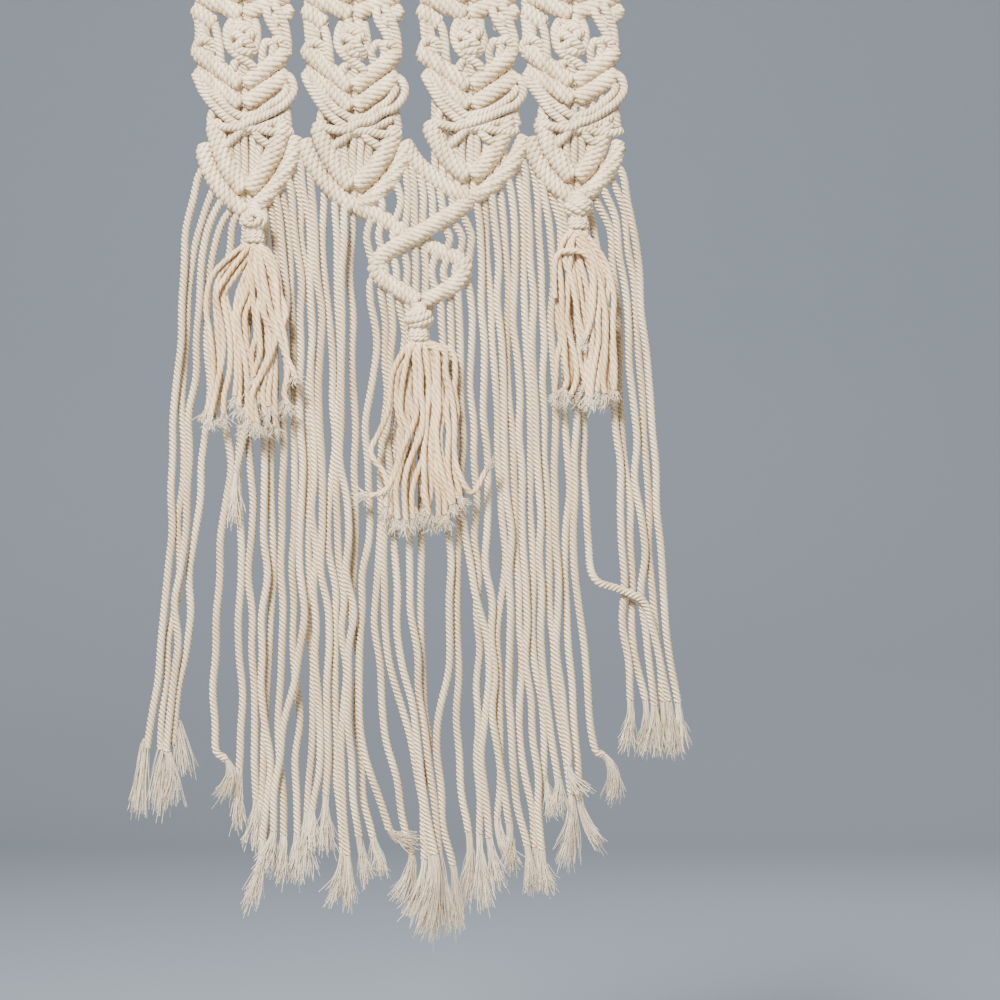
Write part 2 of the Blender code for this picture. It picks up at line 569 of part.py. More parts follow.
def neck_wrap(spec, collection):
    """The gathering cord wound round the neck: a ring that clears it all round."""
    profile = WRAP_PROFILE + (WRAP_PROFILE[0],)
    name = "neck_wrap_" + spec.name
    return finish(name, turned(name, profile, spec.head, spec.front), collection)


def main():
    for old in list(bpy.data.objects):
        bpy.data.objects.remove(old)
    collection = bpy.data.collections.new(COLLECTION)
    bpy.context.scene.collection.children.link(collection)
    knotted_panel(collection)
    fringe(collection)
    for spec in TASSELS:
        tassel(spec, collection)
        neck_wrap(spec, collection)


main()
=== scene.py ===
"""The knotted cotton wall hanging, dressed: every cord is twisted from three plies, every row of
hitches is wound turn by turn, and the ends are frayed thread by thread."""
from collections import namedtuple
from math import cos, pi, radians, sin

import bmesh
import bpy
import numpy as np
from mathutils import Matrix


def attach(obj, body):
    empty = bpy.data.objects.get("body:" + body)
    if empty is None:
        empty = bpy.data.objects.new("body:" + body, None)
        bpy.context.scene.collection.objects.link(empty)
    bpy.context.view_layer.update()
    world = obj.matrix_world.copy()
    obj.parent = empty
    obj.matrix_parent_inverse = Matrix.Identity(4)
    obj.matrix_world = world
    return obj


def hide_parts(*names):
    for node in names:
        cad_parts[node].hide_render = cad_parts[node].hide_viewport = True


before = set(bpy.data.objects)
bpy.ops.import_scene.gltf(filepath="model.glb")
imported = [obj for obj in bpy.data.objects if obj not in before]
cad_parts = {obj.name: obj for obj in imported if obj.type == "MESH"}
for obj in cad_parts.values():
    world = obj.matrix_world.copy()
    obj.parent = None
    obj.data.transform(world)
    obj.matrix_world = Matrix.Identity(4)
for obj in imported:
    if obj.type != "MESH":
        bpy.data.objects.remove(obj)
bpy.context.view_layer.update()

# ---------- studio
# A pale sheet of card runs along the floor and sweeps up behind the hanging. A soft lamp stands
# high on the left, a weaker one fills from the right, and a third shines down from behind.
MM = 0.001
VIEW_MIDDLE = (0.036, -0.244)
VIEW_WIDTH = 0.400
CAMERA_AWAY = 1.0
SENSOR = 36.0
FLOOR_Z, WALL_Y, FLOOR_FRONT, CARD_HALF, WALL_HIGH = -0.62, 2.3, -3.0, 4.0, 4.0
SWEEP_RADIUS = 0.6
AMBIENT = 0.27


def plain_material(name, colour, roughness):
    made = bpy.data.materials.new(name)
    made.use_nodes = True
    shader = made.node_tree.nodes["Principled BSDF"]
    shader.inputs["Base Color"].default_value = colour
    shader.inputs["Roughness"].default_value = roughness
    return made


card = bmesh.new()
corners = [card.verts.new((x, FLOOR_FRONT, FLOOR_Z)) for x in (-CARD_HALF, CARD_HALF)]
front_edge = card.edges.new(corners)
floor_end = bmesh.ops.extrude_edge_only(card, edges=[front_edge])["geom"]
floor_verts = [part for part in floor_end if isinstance(part, bmesh.types.BMVert)]
bmesh.ops.translate(card, vec=(0, WALL_Y - FLOOR_FRONT, 0), verts=floor_verts)
fold = [part for part in floor_end if isinstance(part, bmesh.types.BMEdge)]
wall_end = bmesh.ops.extrude_edge_only(card, edges=fold)["geom"]
wall_verts = [part for part in wall_end if isinstance(part, bmesh.types.BMVert)]
bmesh.ops.translate(card, vec=(0, 0, WALL_HIGH), verts=wall_verts)
bmesh.ops.bevel(
    card, geom=fold, offset=SWEEP_RADIUS, segments=16, profile=0.5, affect="EDGES", material=-1
)
bmesh.ops.recalc_face_normals(card, faces=card.faces)
card_mesh = bpy.data.meshes.new("backdrop_card")
card.to_mesh(card_mesh)
card.free()
card_mesh.shade_smooth()
backdrop = bpy.data.objects.new("backdrop_card", card_mesh)
bpy.context.scene.collection.objects.link(backdrop)
backdrop.data.materials.append(plain_material("pale_card", (0.29, 0.325, 0.37, 1), 0.9))

lens = bpy.data.cameras.new("camera")
lens.sensor_width = SENSOR
lens.lens = SENSOR * CAMERA_AWAY / VIEW_WIDTH
camera = bpy.data.objects.new("camera", lens)
camera.location = (VIEW_MIDDLE[0], -CAMERA_AWAY, VIEW_MIDDLE[1])
camera.rotation_euler = (radians(90), 0, 0)
bpy.context.scene.collection.objects.link(camera)
bpy.context.scene.camera = camera

Lamp = namedtuple("Lamp", "name place turn size power")
LAMPS = (
    Lamp("key_lamp", (-0.35, -1.2, 0.75), (52, 0, -16), 0.35, 104.0),
    Lamp("fill_lamp", (1.1, -1.2, -0.1), (86, 0, 43), 1.2, 6.5),
    Lamp("back_lamp", (0.3, 1.3, 0.9), (-60, 0, 10), 1.2, 20.0),
)
for lamp in LAMPS:
    light = bpy.data.lights.new(lamp.name, "AREA")
    light.size = lamp.size
    light.energy = lamp.power
    stand = bpy.data.objects.new(lamp.name, light)
    stand.location = lamp.place
    stand.rotation_euler = [radians(angle) for angle in lamp.turn]
    bpy.context.scene.collection.objects.link(stand)
world = bpy.data.worlds.new("studio")
bpy.context.scene.world = world
world.use_nodes = True
sky = world.node_tree.nodes["Background"]
sky.inputs["Color"].default_value = (1.0, 0.99, 0.97, 1)
sky.inputs["Strength"].default_value = AMBIENT

# ---------- holding cord and lark's heads
# The hanging starts on one level cord. Twenty-four doubled cords are looped over it with lark's
# head knots, so that forty-eight ends hang down, twelve to each of the four bands. All of it is
# soft three-ply cotton cord, twisted to the left.
WIDTH = 176.0
HEADER_DROP = 4.0
HEADER_KNOTS = 24
HEADER_REACH = 2.3          # from the holding cord's middle to the middle of the cord round it
CORD = 3.0                  # diameter
LAY = 5.3                   # length of cord in which a ply goes once round
STEP = LAY / 8              # from one section to the next along a cord whose plies are modelled,
WOUND_STEP = 0.8            # along a cord wound round another,
PLAIN_STEP = 1.2            # along a straight one,
GUIDE_STEP = 0.4            # and along the line that turns are wound round
ROUND_SIDES = 8
WELD = 2e-6                 # metres
SHARP = radians(75)
# How unevenly turns are wound: their place as a share of a turn, and their size.
UNEVEN_PLACE, UNEVEN_SIZE = 0.06, 0.04
FORWARD = np.array((0.0, 1.0, 0.0))
rng = np.random.default_rng(11)


def add_node(nodes, kind, values=None, operation=None, blend=None):
    made = nodes.new("ShaderNode" + kind)
    if operation:
        made.operation = operation
    if blend:
        made.data_type, made.blend_type = "RGBA", blend
    for socket, value in (values or {}).items():
        made.inputs[socket].default_value = value
    return made


def cotton_material(name, light, deep, plies=3, depth=0.0004, fuzz=0.35):
    """Matt cotton: the colour drifts at random from cord to cord, the plies part in fine grooves
    that follow the twist (v runs once round a cord) and carry painted shade, and a fibre grain lies
    over all."""
    made = plain_material(name, light, 0.92)
    nodes = made.node_tree.nodes
    shader = nodes["Principled BSDF"]
    shader.inputs["Specular IOR Level"].default_value = 0.15
    shader.inputs["Sheen Weight"].default_value = 0.12
    shader.inputs["Sheen Roughness"].default_value = 0.6
    place = add_node(nodes, "TexCoord")
    stretch = add_node(nodes, "Mapping", {"Scale": (260, 260, 26)})
    drift = add_node(nodes, "TexNoise", {"Scale": 1.0, "Detail": 2.0})
    spread = add_node(nodes, "MapRange", {"From Min": 0.30, "From Max": 0.62})
    shade = add_node(nodes, "Mix", {"A": deep, "B": light}, blend="MIX")
    grain = add_node(nodes, "TexNoise", {"Scale": 1700, "Detail": 4.0, "Roughness": 0.7})
    speck = add_node(nodes, "Mix", {"Factor": 0.28}, blend="MULTIPLY")
    bump = add_node(nodes, "Bump", {"Strength": fuzz, "Distance": 0.00025})
    wires = [
        (place, "Object", stretch, "Vector"), (stretch, "Vector", drift, "Vector"),
        (drift, "Fac", spread, "Value"), (spread, "Result", shade, "Factor"),
        (place, "Object", grain, "Vector"), (shade, "Result", speck, "A"),
        (grain, "Color", speck, "B"), (grain, "Fac", bump, "Height"),
        (bump, "Normal", shader, "Normal"),
    ]
    coloured = speck
    if plies:
        own = add_node(nodes, "SeparateXYZ")
        wave = add_node(nodes, "Math", {1: pi * plies}, "MULTIPLY")
        sine = add_node(nodes, "Math", operation="SINE")
        lobe = add_node(nodes, "Math", operation="ABSOLUTE")
        ridge = add_node(nodes, "Bump", {"Strength": 1.0, "Distance": depth})
        # painted shade: the colour is darkened down to 0.56 of itself in the grooves where the
        # plies part
        painted_groove_shade = add_node(nodes, "MapRange", {"From Max": 0.55, "To Min": 0.56})
        coloured = add_node(nodes, "Mix", {"Factor": 1.0}, blend="MULTIPLY")
        wires += [
            (place, "UV", own, "Vector"), (own, "Y", wave, 0), (wave, "Value", sine, 0),
            (sine, "Value", lobe, 0), (lobe, "Value", ridge, "Height"),
            (ridge, "Normal", bump, "Normal"), (lobe, "Value", painted_groove_shade, "Value"),
            (speck, "Result", coloured, "A"), (painted_groove_shade, "Result", coloured, "B"),
        ]
    wires.append((coloured, "Result", shader, "Base Color"))
    for source, given, target, taken in wires:
        made.node_tree.links.new(source.outputs[given], target.inputs[taken])
    return made


# painted shade lies in the ply grooves of this cotton and of the tassel cottons below
cotton = cotton_material("natural_cotton", (0.86, 0.675, 0.44, 1), (0.64, 0.475, 0.28, 1))


def cord_section(name, plies, shape):
    """The cut face of a twisted cord, one unit in radius: the same lobe for each ply."""
    data = bpy.data.curves.new(name, "CURVE")
    data.dimensions = "2D"
    outline = data.splines.new("POLY")
    count = plies * len(shape)
    outline.points.add(count - 1)
    for index, point in enumerate(outline.points):
        turn = 2 * pi * index / count
        reach = shape[index % len(shape)]
        point.co = (reach * cos(turn), reach * sin(turn), 0, 1)
    outline.use_cyclic_u = True
    made = bpy.data.objects.new(name, data)
    bpy.context.scene.collection.objects.link(made)
    return made


three_ply = cord_section("three_ply_section", 3, (0.95, 1.08))
wound_round = cord_section("wound_round_section", ROUND_SIDES, (1.0,))


def gone_along(points):
    """How far along the line each point lies."""
    return np.concatenate(([0], np.cumsum(np.linalg.norm(np.diff(points, axis=0), axis=1))))


def places_at(wanted, gone, line):
    return np.column_stack([np.interp(wanted, gone, line[:, axis]) for axis in range(3)])


def smooth_run(points, spacing=STEP):
    """Evenly spaced points on a smooth curve through (x, front, drop), in millimetres."""
    knots = np.array(points, float)
    knots = np.vstack((2 * knots[0] - knots[1], knots, 2 * knots[-1] - knots[-2]))
    t = np.linspace(0, 1, 24, endpoint=False)[:, None]
    parts = [
        0.5 * (2 * b + (c - a) * t + (2 * a - 5 * b + 4 * c - d) * t ** 2
               + (3 * b - a - 3 * c + d) * t ** 3)
        for a, b, c, d in zip(knots, knots[1:], knots[2:], knots[3:])
    ]
    dense = np.vstack((*parts, knots[-2:-1]))
    gone = gone_along(dense)
    return places_at(np.linspace(0, gone[-1], max(3, round(gone[-1] / spacing) + 1)), gone, dense)


def cord_curve(name, section):
    data = bpy.data.curves.new(name, "CURVE")
    data.dimensions = "3D"
    data.bevel_mode = "OBJECT"
    data.bevel_object = section
    data.use_fill_caps = True
    data.twist_mode = "MINIMUM"
    return data


def add_run(data, points, radii, turned=0.0):
    """One more cord on a curve, from places and radii in millimetres."""
    spline = data.splines.new("POLY")
    spline.points.add(len(points) - 1)
    every = np.ones(len(points))
    places = np.column_stack((points * (1, -1, -1) * MM, every))
    spline.points.foreach_set("co", places.ravel())
    spline.points.foreach_set("radius", every * radii * MM)
    spline.points.foreach_set("tilt", every * turned)


def lay_cords(name, runs, diameter=CORD, section=three_ply, lay=LAY):
    """One mesh of twisted cords: each run is a row of points, or a pair of points and widths."""
    data = cord_curve(name, section)
    twists = []
    for run in runs:
        points, widths = run if isinstance(run, tuple) else (run, 1.0)
        turns = gone_along(points) / lay
        turned = rng.uniform(0, 2 * pi)
        if section is wound_round:
            twists.append((len(points), turns[-1]))
        else:
            turned = turned - turns * 2 * pi
        add_run(data, points, widths * diameter / 2, turned)
    return made_mesh(name, data, twists)


def twist_map(mesh, twists):
    """Lets v, which runs once round each cord, also lose one for every turn of the plies."""
    corners = np.empty(len(mesh.polygons), int)
    mesh.polygons.foreach_get("loop_total", corners)
    side = np.repeat(corners == 4, corners)
    lost = np.repeat([turns for _, turns in twists],
                     [(points - 1) * ROUND_SIDES * 4 for points, _ in twists])
    places = np.empty(len(mesh.loops) * 2)
    mesh.uv_layers[0].data.foreach_get("uv", places)
    places = places.reshape(-1, 2)
    places[side, 1] -= places[side, 0] * lost
    mesh.uv_layers[0].data.foreach_set("uv", places.ravel())


def made_mesh(name, data, twists=()):
    """The mesh of a curve, with its end caps welded on."""
    guide = bpy.data.objects.new(name + "_line", data)
    bpy.context.scene.collection.objects.link(guide)
    graph = bpy.context.evaluated_depsgraph_get()
    mesh = bpy.data.meshes.new_from_object(guide.evaluated_get(graph))
    if twists:
        twist_map(mesh, twists)
    bpy.data.objects.remove(guide)
    bpy.data.curves.remove(data)
    welded = bmesh.new()
    welded.from_mesh(mesh)
    bmesh.ops.remove_doubles(welded, verts=welded.verts, dist=WELD)
    bmesh.ops.recalc_face_normals(welded, faces=welded.faces)
    welded.to_mesh(mesh)
    welded.free()
    mesh.name = name
    mesh.shade_smooth()
    mesh.set_sharp_from_angle(angle=SHARP)
    made = bpy.data.objects.new(name, mesh)
    bpy.context.scene.collection.objects.link(made)
    return made


def dress(piece, node, material=cotton):
    piece.data.materials.clear()
    piece.data.materials.append(material)
    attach(piece, "root")
    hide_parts(node)


def hitch_turns(path, reach, pitch, width):
    """Turns wound round a bar: each lies square across the front and steps along behind."""
    line = smooth_run(path, GUIDE_STEP)
    gone = gone_along(line)
    turns = max(1, round(gone[-1] / pitch))
    phase = np.linspace(0, turns, int(turns * 2 * pi * reach / WOUND_STEP))
    whole = np.minimum(np.floor(phase), turns - 1)
    part = phase - whole
    stepped = np.clip((part - 0.5) / 0.5, 0, 1)
    stepped = stepped * stepped * (3 - 2 * stepped)
    each = np.arange(turns + 1)
    off = np.interp(phase, each, rng.uniform(-UNEVEN_PLACE, UNEVEN_PLACE, turns + 1))
    place = (whole + stepped + 0.15 + off) * gone[-1] / (turns + 0.3)
    middle = places_at(place, gone, line)
    along = places_at(place + 0.5, gone, line) - places_at(place - 0.5, gone, line)
    along /= np.linalg.norm(along, axis=1)[:, None]
    across = np.cross(along, FORWARD)
    across /= np.linalg.norm(across, axis=1)[:, None]
    across *= np.where(across[:, 2:3] > 0, -1.0, 1.0)
    size = 1 + np.interp(phase, each, rng.uniform(-UNEVEN_SIZE, UNEVEN_SIZE, turns + 1))
    size *= 1 - 0.3 * np.clip(1 - np.minimum(phase, turns - phase) / 0.9, 0, 1) ** 2
    turn = 2 * pi * part
    points = (middle + (-np.cos(turn) * reach * size)[:, None] * across
              + (np.sin(turn) * reach * size)[:, None] * FORWARD)
    return points, size * width / CORD


def level_run(half):
    return [(x, 0, HEADER_DROP) for x in (-half, 0, half)]


header_runs = [
    smooth_run(level_run(WIDTH / 2)),
    hitch_turns(level_run(WIDTH / 2 - 1), HEADER_REACH, WIDTH / (2 * HEADER_KNOTS), CORD),
]
for knot in range(HEADER_KNOTS):
    x = -WIDTH / 2 + (knot + 0.5) * WIDTH / HEADER_KNOTS
    header_runs.append(smooth_run([
        (x + aside, front, drop) for aside, front, drop in
        ((-2.6, 0.2, 5.6), (-2.4, 2.2, 7.4), (0, 2.7, 8.2), (2.4, 2.2, 7.4), (2.6, 0.2, 5.6))
    ]))
dress(lay_cords("holding_cord", header_runs), "knotted_panel")

# ---------- the cords and rows of a band
# Below the holding cord each band gathers its twelve cords into two V-shaped rows of double half
# hitches: one cord lies along the row, and every other cord is wound twice round it.
Point = namedtuple("Point", "x drop")
Bar = namedtuple("Bar", "left point right")
# A band: its middle, the round knot, two rows below that, the square knot and the last two rows.
Band = namedtuple("Band", "middle berry upper lower knot inner outer")


def course(*places):
    return [Point(*place) for place in places]


def v_bar(*places):
    return Bar(*course(*places))


BANDS = (
    Band(
        middle=-66.8, berry=Point(-66.8, 61.2),
        upper=v_bar((-85.9, 64.8), (-66.8, 78.4), (-49.8, 65.6)),
        lower=v_bar((-85.4, 73.6), (-66.8, 86.4), (-49.2, 74.4)),
        knot=Point(-65.6, 92.8),
        inner=v_bar((-77.6, 95.2), (-65.6, 120.8), (-50.8, 94.8)),
        outer=v_bar((-82.8, 102.4), (-65.2, 129.2), (-45.2, 99.6)),
    ),
    Band(
        middle=-22.8, berry=Point(-22.8, 62.4),
        upper=v_bar((-42.1, 64), (-23.2, 79.6), (-4.9, 65.6)),
        lower=v_bar((-41.6, 73.6), (-22.4, 87.6), (-5.2, 75.2)),
        knot=Point(-22.4, 93.6),
        inner=v_bar((-36, 96), (-22.4, 119), (-6.4, 98)),
        outer=v_bar((-42, 100.8), (-21.4, 127.4), (-1.2, 102.4)),
    ),
    Band(
        middle=23.2, berry=Point(23.6, 61.2),
        upper=v_bar((4.1, 64.8), (24, 79.2), (41.3, 65.6)),
        lower=v_bar((6.2, 74), (24.4, 86.8), (42.4, 75.2)),
        knot=Point(24.4, 92.4),
        inner=v_bar((8.4, 95.6), (24.2, 115.2), (39.2, 93.2)),
        outer=v_bar((-2, 101.6), (24.4, 123.6), (45.6, 99.2)),
    ),
    Band(
        middle=65.2, berry=Point(64, 61.2),
        upper=v_bar((46.3, 64), (65.6, 77.6), (82.6, 64.8)),
        lower=v_bar((46.8, 73.2), (66, 84.4), (82.3, 74)),
        knot=Point(66, 92.8),
        inner=v_bar((53, 93.6), (66, 115.6), (78.2, 94)),
        outer=v_bar((48.4, 100), (66, 124), (83.6, 101.4)),
    ),
)

BAND_CORDS = 12
TOP_BAR_HALF = 18.8
TOP_BARS = ((34.4, 43.2), (41.6, 50.4))
INNER_BOW = (1.9, 1.2)
OUTER_BOW = (3.4, 1.4)
TURN_REACH = 1.90           # from a row's middle to the middle of the cord wound round it
WIDE_REACH = 2.20
EDGE_REACH = 1.70
TURN_PITCH = 2.10
TURN_WIDTH = 3.65
# How far apart the twelve cords reach the first row, and the links between two rows.
TOP_SPACING = 2 * TOP_BAR_HALF / BAND_CORDS + 0.25
LINK_SPACING, LINK_INSET = 3.1, 1.5


def bent(start, bend, end, share):
    """A place on the plain curve from start to end that leans towards bend."""
    return (1 - share) ** 2 * start + 2 * share * (1 - share) * bend + share * share * end


def arm(end, point, bow=(0, 0), steps=6):
    """One arm of a V as (x, drop) points from its end down to its lowest point."""
    outwards = -1 if end.x < point.x else 1
    bend = ((end.x + point.x) / 2 + 2 * outwards * bow[0], (end.drop + point.drop) / 2 + 2 * bow[1])
    return [
        Point(*(bent(a, b, c, step / steps) for a, b, c in zip(end, bend, point)))
        for step in range(steps + 1)
    ]


def drop_at(points, x):
    for start, end in zip(points, points[1:]):
        if min(start.x, end.x) <= x <= max(start.x, end.x) and start.x != end.x:
            return start.drop + (end.drop - start.drop) * (x - start.x) / (end.x - start.x)
    return min(points, key=lambda point: abs(point.x - x)).drop


def v_line(bar, bow=(0, 0)):
    return arm(bar.left, bar.point, bow) + arm(bar.right, bar.point, bow)[::-1]


def row_runs(points, reach=TURN_REACH, fronts=None):
    """The carrier of one straight or curved row, and the turns round it."""
    fronts = fronts or [0] * len(points)
    path = [(point.x, front, point.drop) for point, front in zip(points, fronts)]
    return [smooth_run(path, PLAIN_STEP), hitch_turns(path, reach, TURN_PITCH, TURN_WIDTH)]


def v_runs(bar, reach=TURN_REACH, bow=(0, 0)):
    arms = [arm(end, bar.point, bow) for end in (bar.left, bar.right)]
    return [run for points in arms for run in row_runs(points, reach)]


def links_between(above, below, spacing=LINK_SPACING, front=-1.2):
    """The cords that run on behind from one row into the next."""
    left = max(min(p.x for p in above), min(p.x for p in below)) + LINK_INSET
    right = min(max(p.x for p in above), max(p.x for p in below)) - LINK_INSET
    made = []
    for x in np.linspace(left, right, max(2, round((right - left) / spacing) + 1)):
        top, bottom = drop_at(above, x), drop_at(below, x)
        path = [(x, front, top), (x, front, (top + bottom) / 2), (x, front, bottom)]
        made.append(smooth_run(path, PLAIN_STEP))
    return made


for index, band in enumerate(BANDS):
    runs = []
    left, right = band.middle - TOP_BAR_HALF, band.middle + TOP_BAR_HALF
    rows = [v_bar((left, ends), (band.middle, point), (right, ends)) for ends, point in TOP_BARS]
    first = v_line(rows[0])
    for number in range(BAND_CORDS):
        top = -WIDTH / 2 + (index * BAND_CORDS + number + 0.5) * WIDTH / (len(BANDS) * BAND_CORDS)
        low = band.middle + (number - (BAND_CORDS - 1) / 2) * TOP_SPACING
        end = drop_at(first, low)
        path = [(top, 0.8, 6), (top, 0.9, 12), ((top + low) / 2, 0.3, (8 + end) / 2),
                (low, 0.2, end - 4), (low, 0, end)]
        runs.append(smooth_run(path, PLAIN_STEP))
    for row in rows:
        runs += v_runs(row)
    runs += links_between(first, v_line(rows[1]))
    made = lay_cords(f"band_{index + 1}_top", runs, section=wound_round)
    dress(made, "knotted_panel")

# ---------- the open zone
# Under the top rows each band opens. At each side a short row and a few loose cords run down.
# In the middle the cords are tied into a round knot that stands proud, with a gap on each side.
SIDE_ROW = ((19.2, 48.2), (10.2, 54.2))
SIDE_REACH = 1.80
BERRY_DROP = 61.4           # of the round knot's middle, in the table below
# Cords of one open zone: how fat, then x from the round knot, how far in front, and drop.
OPEN_CORDS = (
    (2.4, (0, -0.6, 54), (0.1, 0.8, 57.5), (0.2, 1, 61), (0.3, 0.6, 64.5), (0.2, -0.4, 67.5)),
    (1.2, (-4.4, 0.4, 52.6), (-5.6, 2.2, 56.6), (-5.9, 2.9, 61), (-4, 3.2, 65),
     (0.2, 3.4, 68.2), (4.2, 2.6, 71), (5.8, 0.4, 74.5)),
    (1.18, (4.6, 0.4, 52.6), (5.6, 1.8, 56.4), (5.8, 2.2, 60.6), (4.8, 2, 64.4), (1, 1, 67.4),
     (-3.2, 0.6, 70), (-4.4, 0.2, 73.5)),
    (1.2, (-4.2, 2, 57.6), (-2.2, 3.9, 56.2), (0.8, 4.4, 56.4), (3.6, 3.6, 58.2),
     (5.2, 1.8, 60.8)),
    (1.3, (-4.8, 2, 59.6), (-2.6, 4.5, 59), (0.4, 5.6, 60.6), (2.8, 4.9, 63), (4.6, 2.4, 65.4)),
    (1.3, (5, 1.8, 57.4), (3.2, 4.4, 59), (0.6, 5.2, 61.6), (-1.8, 4.8, 63.6), (-4.2, 2.6, 64.2)),
    (1.2, (-3.6, 2.4, 65.4), (-0.8, 4.4, 65.2), (2, 4.2, 65.4), (4.6, 2, 64.2)),
    (1.2, (-2.6, 1.6, 67.2), (0.6, 3.4, 67), (3.4, 1.6, 66.4)),
    (1.3, (-1.7, -0.4, 50), (-2.2, 0.8, 53), (-1.8, 1, 60), (-1.4, 0.6, 66), (-1.6, -0.2, 76)),
    (1.3, (1.7, -0.4, 50), (2.2, 0.8, 53), (1.8, 1, 60), (1.8, 0.6, 66), (1.8, -0.2, 76)),
    (1.1, (-3.6, 1.2, 72.2), (-2.4, 2.4, 69.2), (0.2, 2.4, 69.6), (1.2, 0.8, 74)),
    (1.7, (-15.6, -1, 50.5), (-15.4, -0.6, 57.5), (-15.6, -1, 68)),
    (1.7, (15.2, -1, 50.5), (15.6, -0.6, 57.5), (15.8, -1, 67)),
    (1.2, (-15.8, 0, 43.5), (-15.2, -0.4, 47.5), (-13.4, -0.2, 51.2), (-10.9, 1.3, 55.2),
     (-9.7, 1.6, 60.6), (-9.1, 1.6, 66), (-8.6, 0, 71.5)),
    (1.2, (-18, 0, 42.5), (-17.9, -0.4, 46.5), (-17.2, -0.4, 50.2), (-15.8, 1, 56.5),
     (-14.4, 1.2, 62), (-12.8, 0, 68.5)),
    (1.25, (-18.2, 0, 50), (-17.6, 0.6, 56), (-17.4, 0.6, 61), (-17.6, 0, 67)),
    (1.2, (-19.2, 0.2, 65), (-18, 1.4, 62), (-15.2, 2.2, 60.6), (-12.6, 1.8, 61.6),
     (-11, 0.4, 65)),
    (1.15, (13.2, 0.4, 65.5), (11.8, 1.6, 61.9), (9.6, 1.9, 61.2), (8.1, 1.8, 64.2),
     (8.2, 1.2, 68), (9.6, 0, 72.5)),
    (1.2, (13.4, 0.8, 59.5), (12.6, 1.2, 64), (12.2, 0.8, 67.5), (13, 0, 71.5)),
    (1.2, (9.2, 0, 45.5), (9.6, 2.2, 49), (10.8, 2.6, 52), (12.6, 2.2, 55.8), (15.2, 1.8, 59.6),
     (16.8, 1, 63.2), (17.4, 0, 67)),
    (1.25, (13, 0, 43.5), (13.6, 2.2, 47.4), (15, 2.6, 50.6), (17, 1.4, 55.4), (18, 0.8, 60.6),
     (18, 0, 66)),
    (1.2, (11.6, 0.8, 62.4), (13.8, 2.2, 60.6), (16.4, 1.8, 61.4), (18.2, 0.2, 64.6)),
)


def nudged(points, amount=0.22):
    """The same course, a little different each time it is tied."""
    moved = np.array(points, float)
    moved[1:-1] += rng.normal(0, amount, (len(moved) - 2, 3)) * (1.0, 0.6, 1.0)
    return moved


for index, band in enumerate(BANDS):
    runs = []
    shift = band.berry.drop - BERRY_DROP
    for side in (-1, 1):
        (outer, outer_drop), (inner, inner_drop) = SIDE_ROW
        start, stop = band.middle + side * outer, band.middle + side * inner
        middle = Point((start + stop) / 2, (outer_drop + inner_drop) / 2 + 0.3)
        runs += row_runs([Point(start, outer_drop), middle, Point(stop, inner_drop)], SIDE_REACH)
    for fat, *points in OPEN_CORDS:
        path = [(band.berry.x + x, front, drop + shift) for x, front, drop in points]
        runs.append((smooth_run(nudged(path)), fat))
    made = lay_cords(f"band_{index + 1}_open_zone", runs, section=wound_round)
    dress(made, "knotted_panel")

# ---------- the waist
# Two more rows close the open zone. From their ends three or four cords swing down and in to a
# square knot, and the uppermost two cross over and run out again to the first of the last rows.
# Each is given from that side's end of the row above (0, 0) to the knot (1, 1), and its front.
SWEEPS_LEFT = (
    ((-0.02, 1.6, 0.02), (0.04, 3, 0.18), (0.12, 3, 0.36), (0.29, 2.8, 0.6), (0.49, 3, 0.81),
     (0.69, 3.2, 0.98), (0.86, 3.4, 1.1)),
    ((0.12, 1, 0.12), (0.2, 2, 0.3), (0.33, 2.4, 0.44), (0.5, 2.6, 0.6), (0.68, 2.8, 0.75),
     (0.9, 3.2, 0.88), (1.1, 3.2, 0.96)),
    ((0.4, -0.6, 0.5), (0.33, 0.4, 0.76), (0.3, 0.8, 0.94), (0.32, 0.2, 1.14)),
)
SWEEPS_RIGHT = (
    ((-0.02, 1.2, 0), (-0.13, 2.8, 0.1), (-0.19, 3.2, 0.28), (-0.14, 3.4, 0.47),
     (0.05, 3.4, 0.65), (0.3, 3.5, 0.8), (0.57, 3.8, 0.93), (0.88, 4.2, 1.04)),
    ((0, 1, 0.22), (0.04, 2, 0.38), (0.22, 2.4, 0.55), (0.44, 2.8, 0.7), (0.69, 3.2, 0.84),
     (0.99, 3.4, 0.93)),
    ((0.04, 0, 0.62), (0.02, 0.8, 0.78), (0.18, 1.6, 0.94), (0.46, 2.2, 1.06), (0.78, 2.6, 1.16),
     (1.08, 2, 1.24)),
    ((0.1, -0.6, 0.44), (0.03, 0.4, 0.68), (-0.01, 0.8, 0.9), (-0.04, 0.2, 1.1)),
)
# What follows below the knot, as x from it, front, and drop below it.
OUT_LEFT = (
    ((0.6, 3.2, 3.2), (5, 3.2, 3.4), (10.4, 2.8, 4.4), (15.4, 1.8, 4.6), (18.6, 0.4, 3.6)),
    ((3.4, 2.4, 3.4), (5.2, 3, 6.4), (8.4, 2.6, 8.6), (11.4, 0.8, 10.4)),
)
OUT_RIGHT = (
    ((-2, 4, 2.8), (-6.2, 3.6, 2.8), (-10.6, 2.8, 1.8), (-14.8, 1.2, 0.4)),
    ((-1.6, 3.4, 3.4), (-3.8, 3.2, 6.4), (-6.8, 2.4, 8.8), (-9.2, 0.6, 10.6)),
)
UPRIGHTS = (-6.4, -3.4, -0.4, 2.7, 5.8)
UPRIGHT_LINKS = (3.5, -0.9)
SWEEP_FAT = 1.14


def raised(bar, out=0.5, up=2.0):
    """The row with its two ends a little higher and further out."""
    (left, left_drop), point, (right, right_drop) = bar
    return v_bar((left - out, left_drop - up), point, (right + out, right_drop - up))


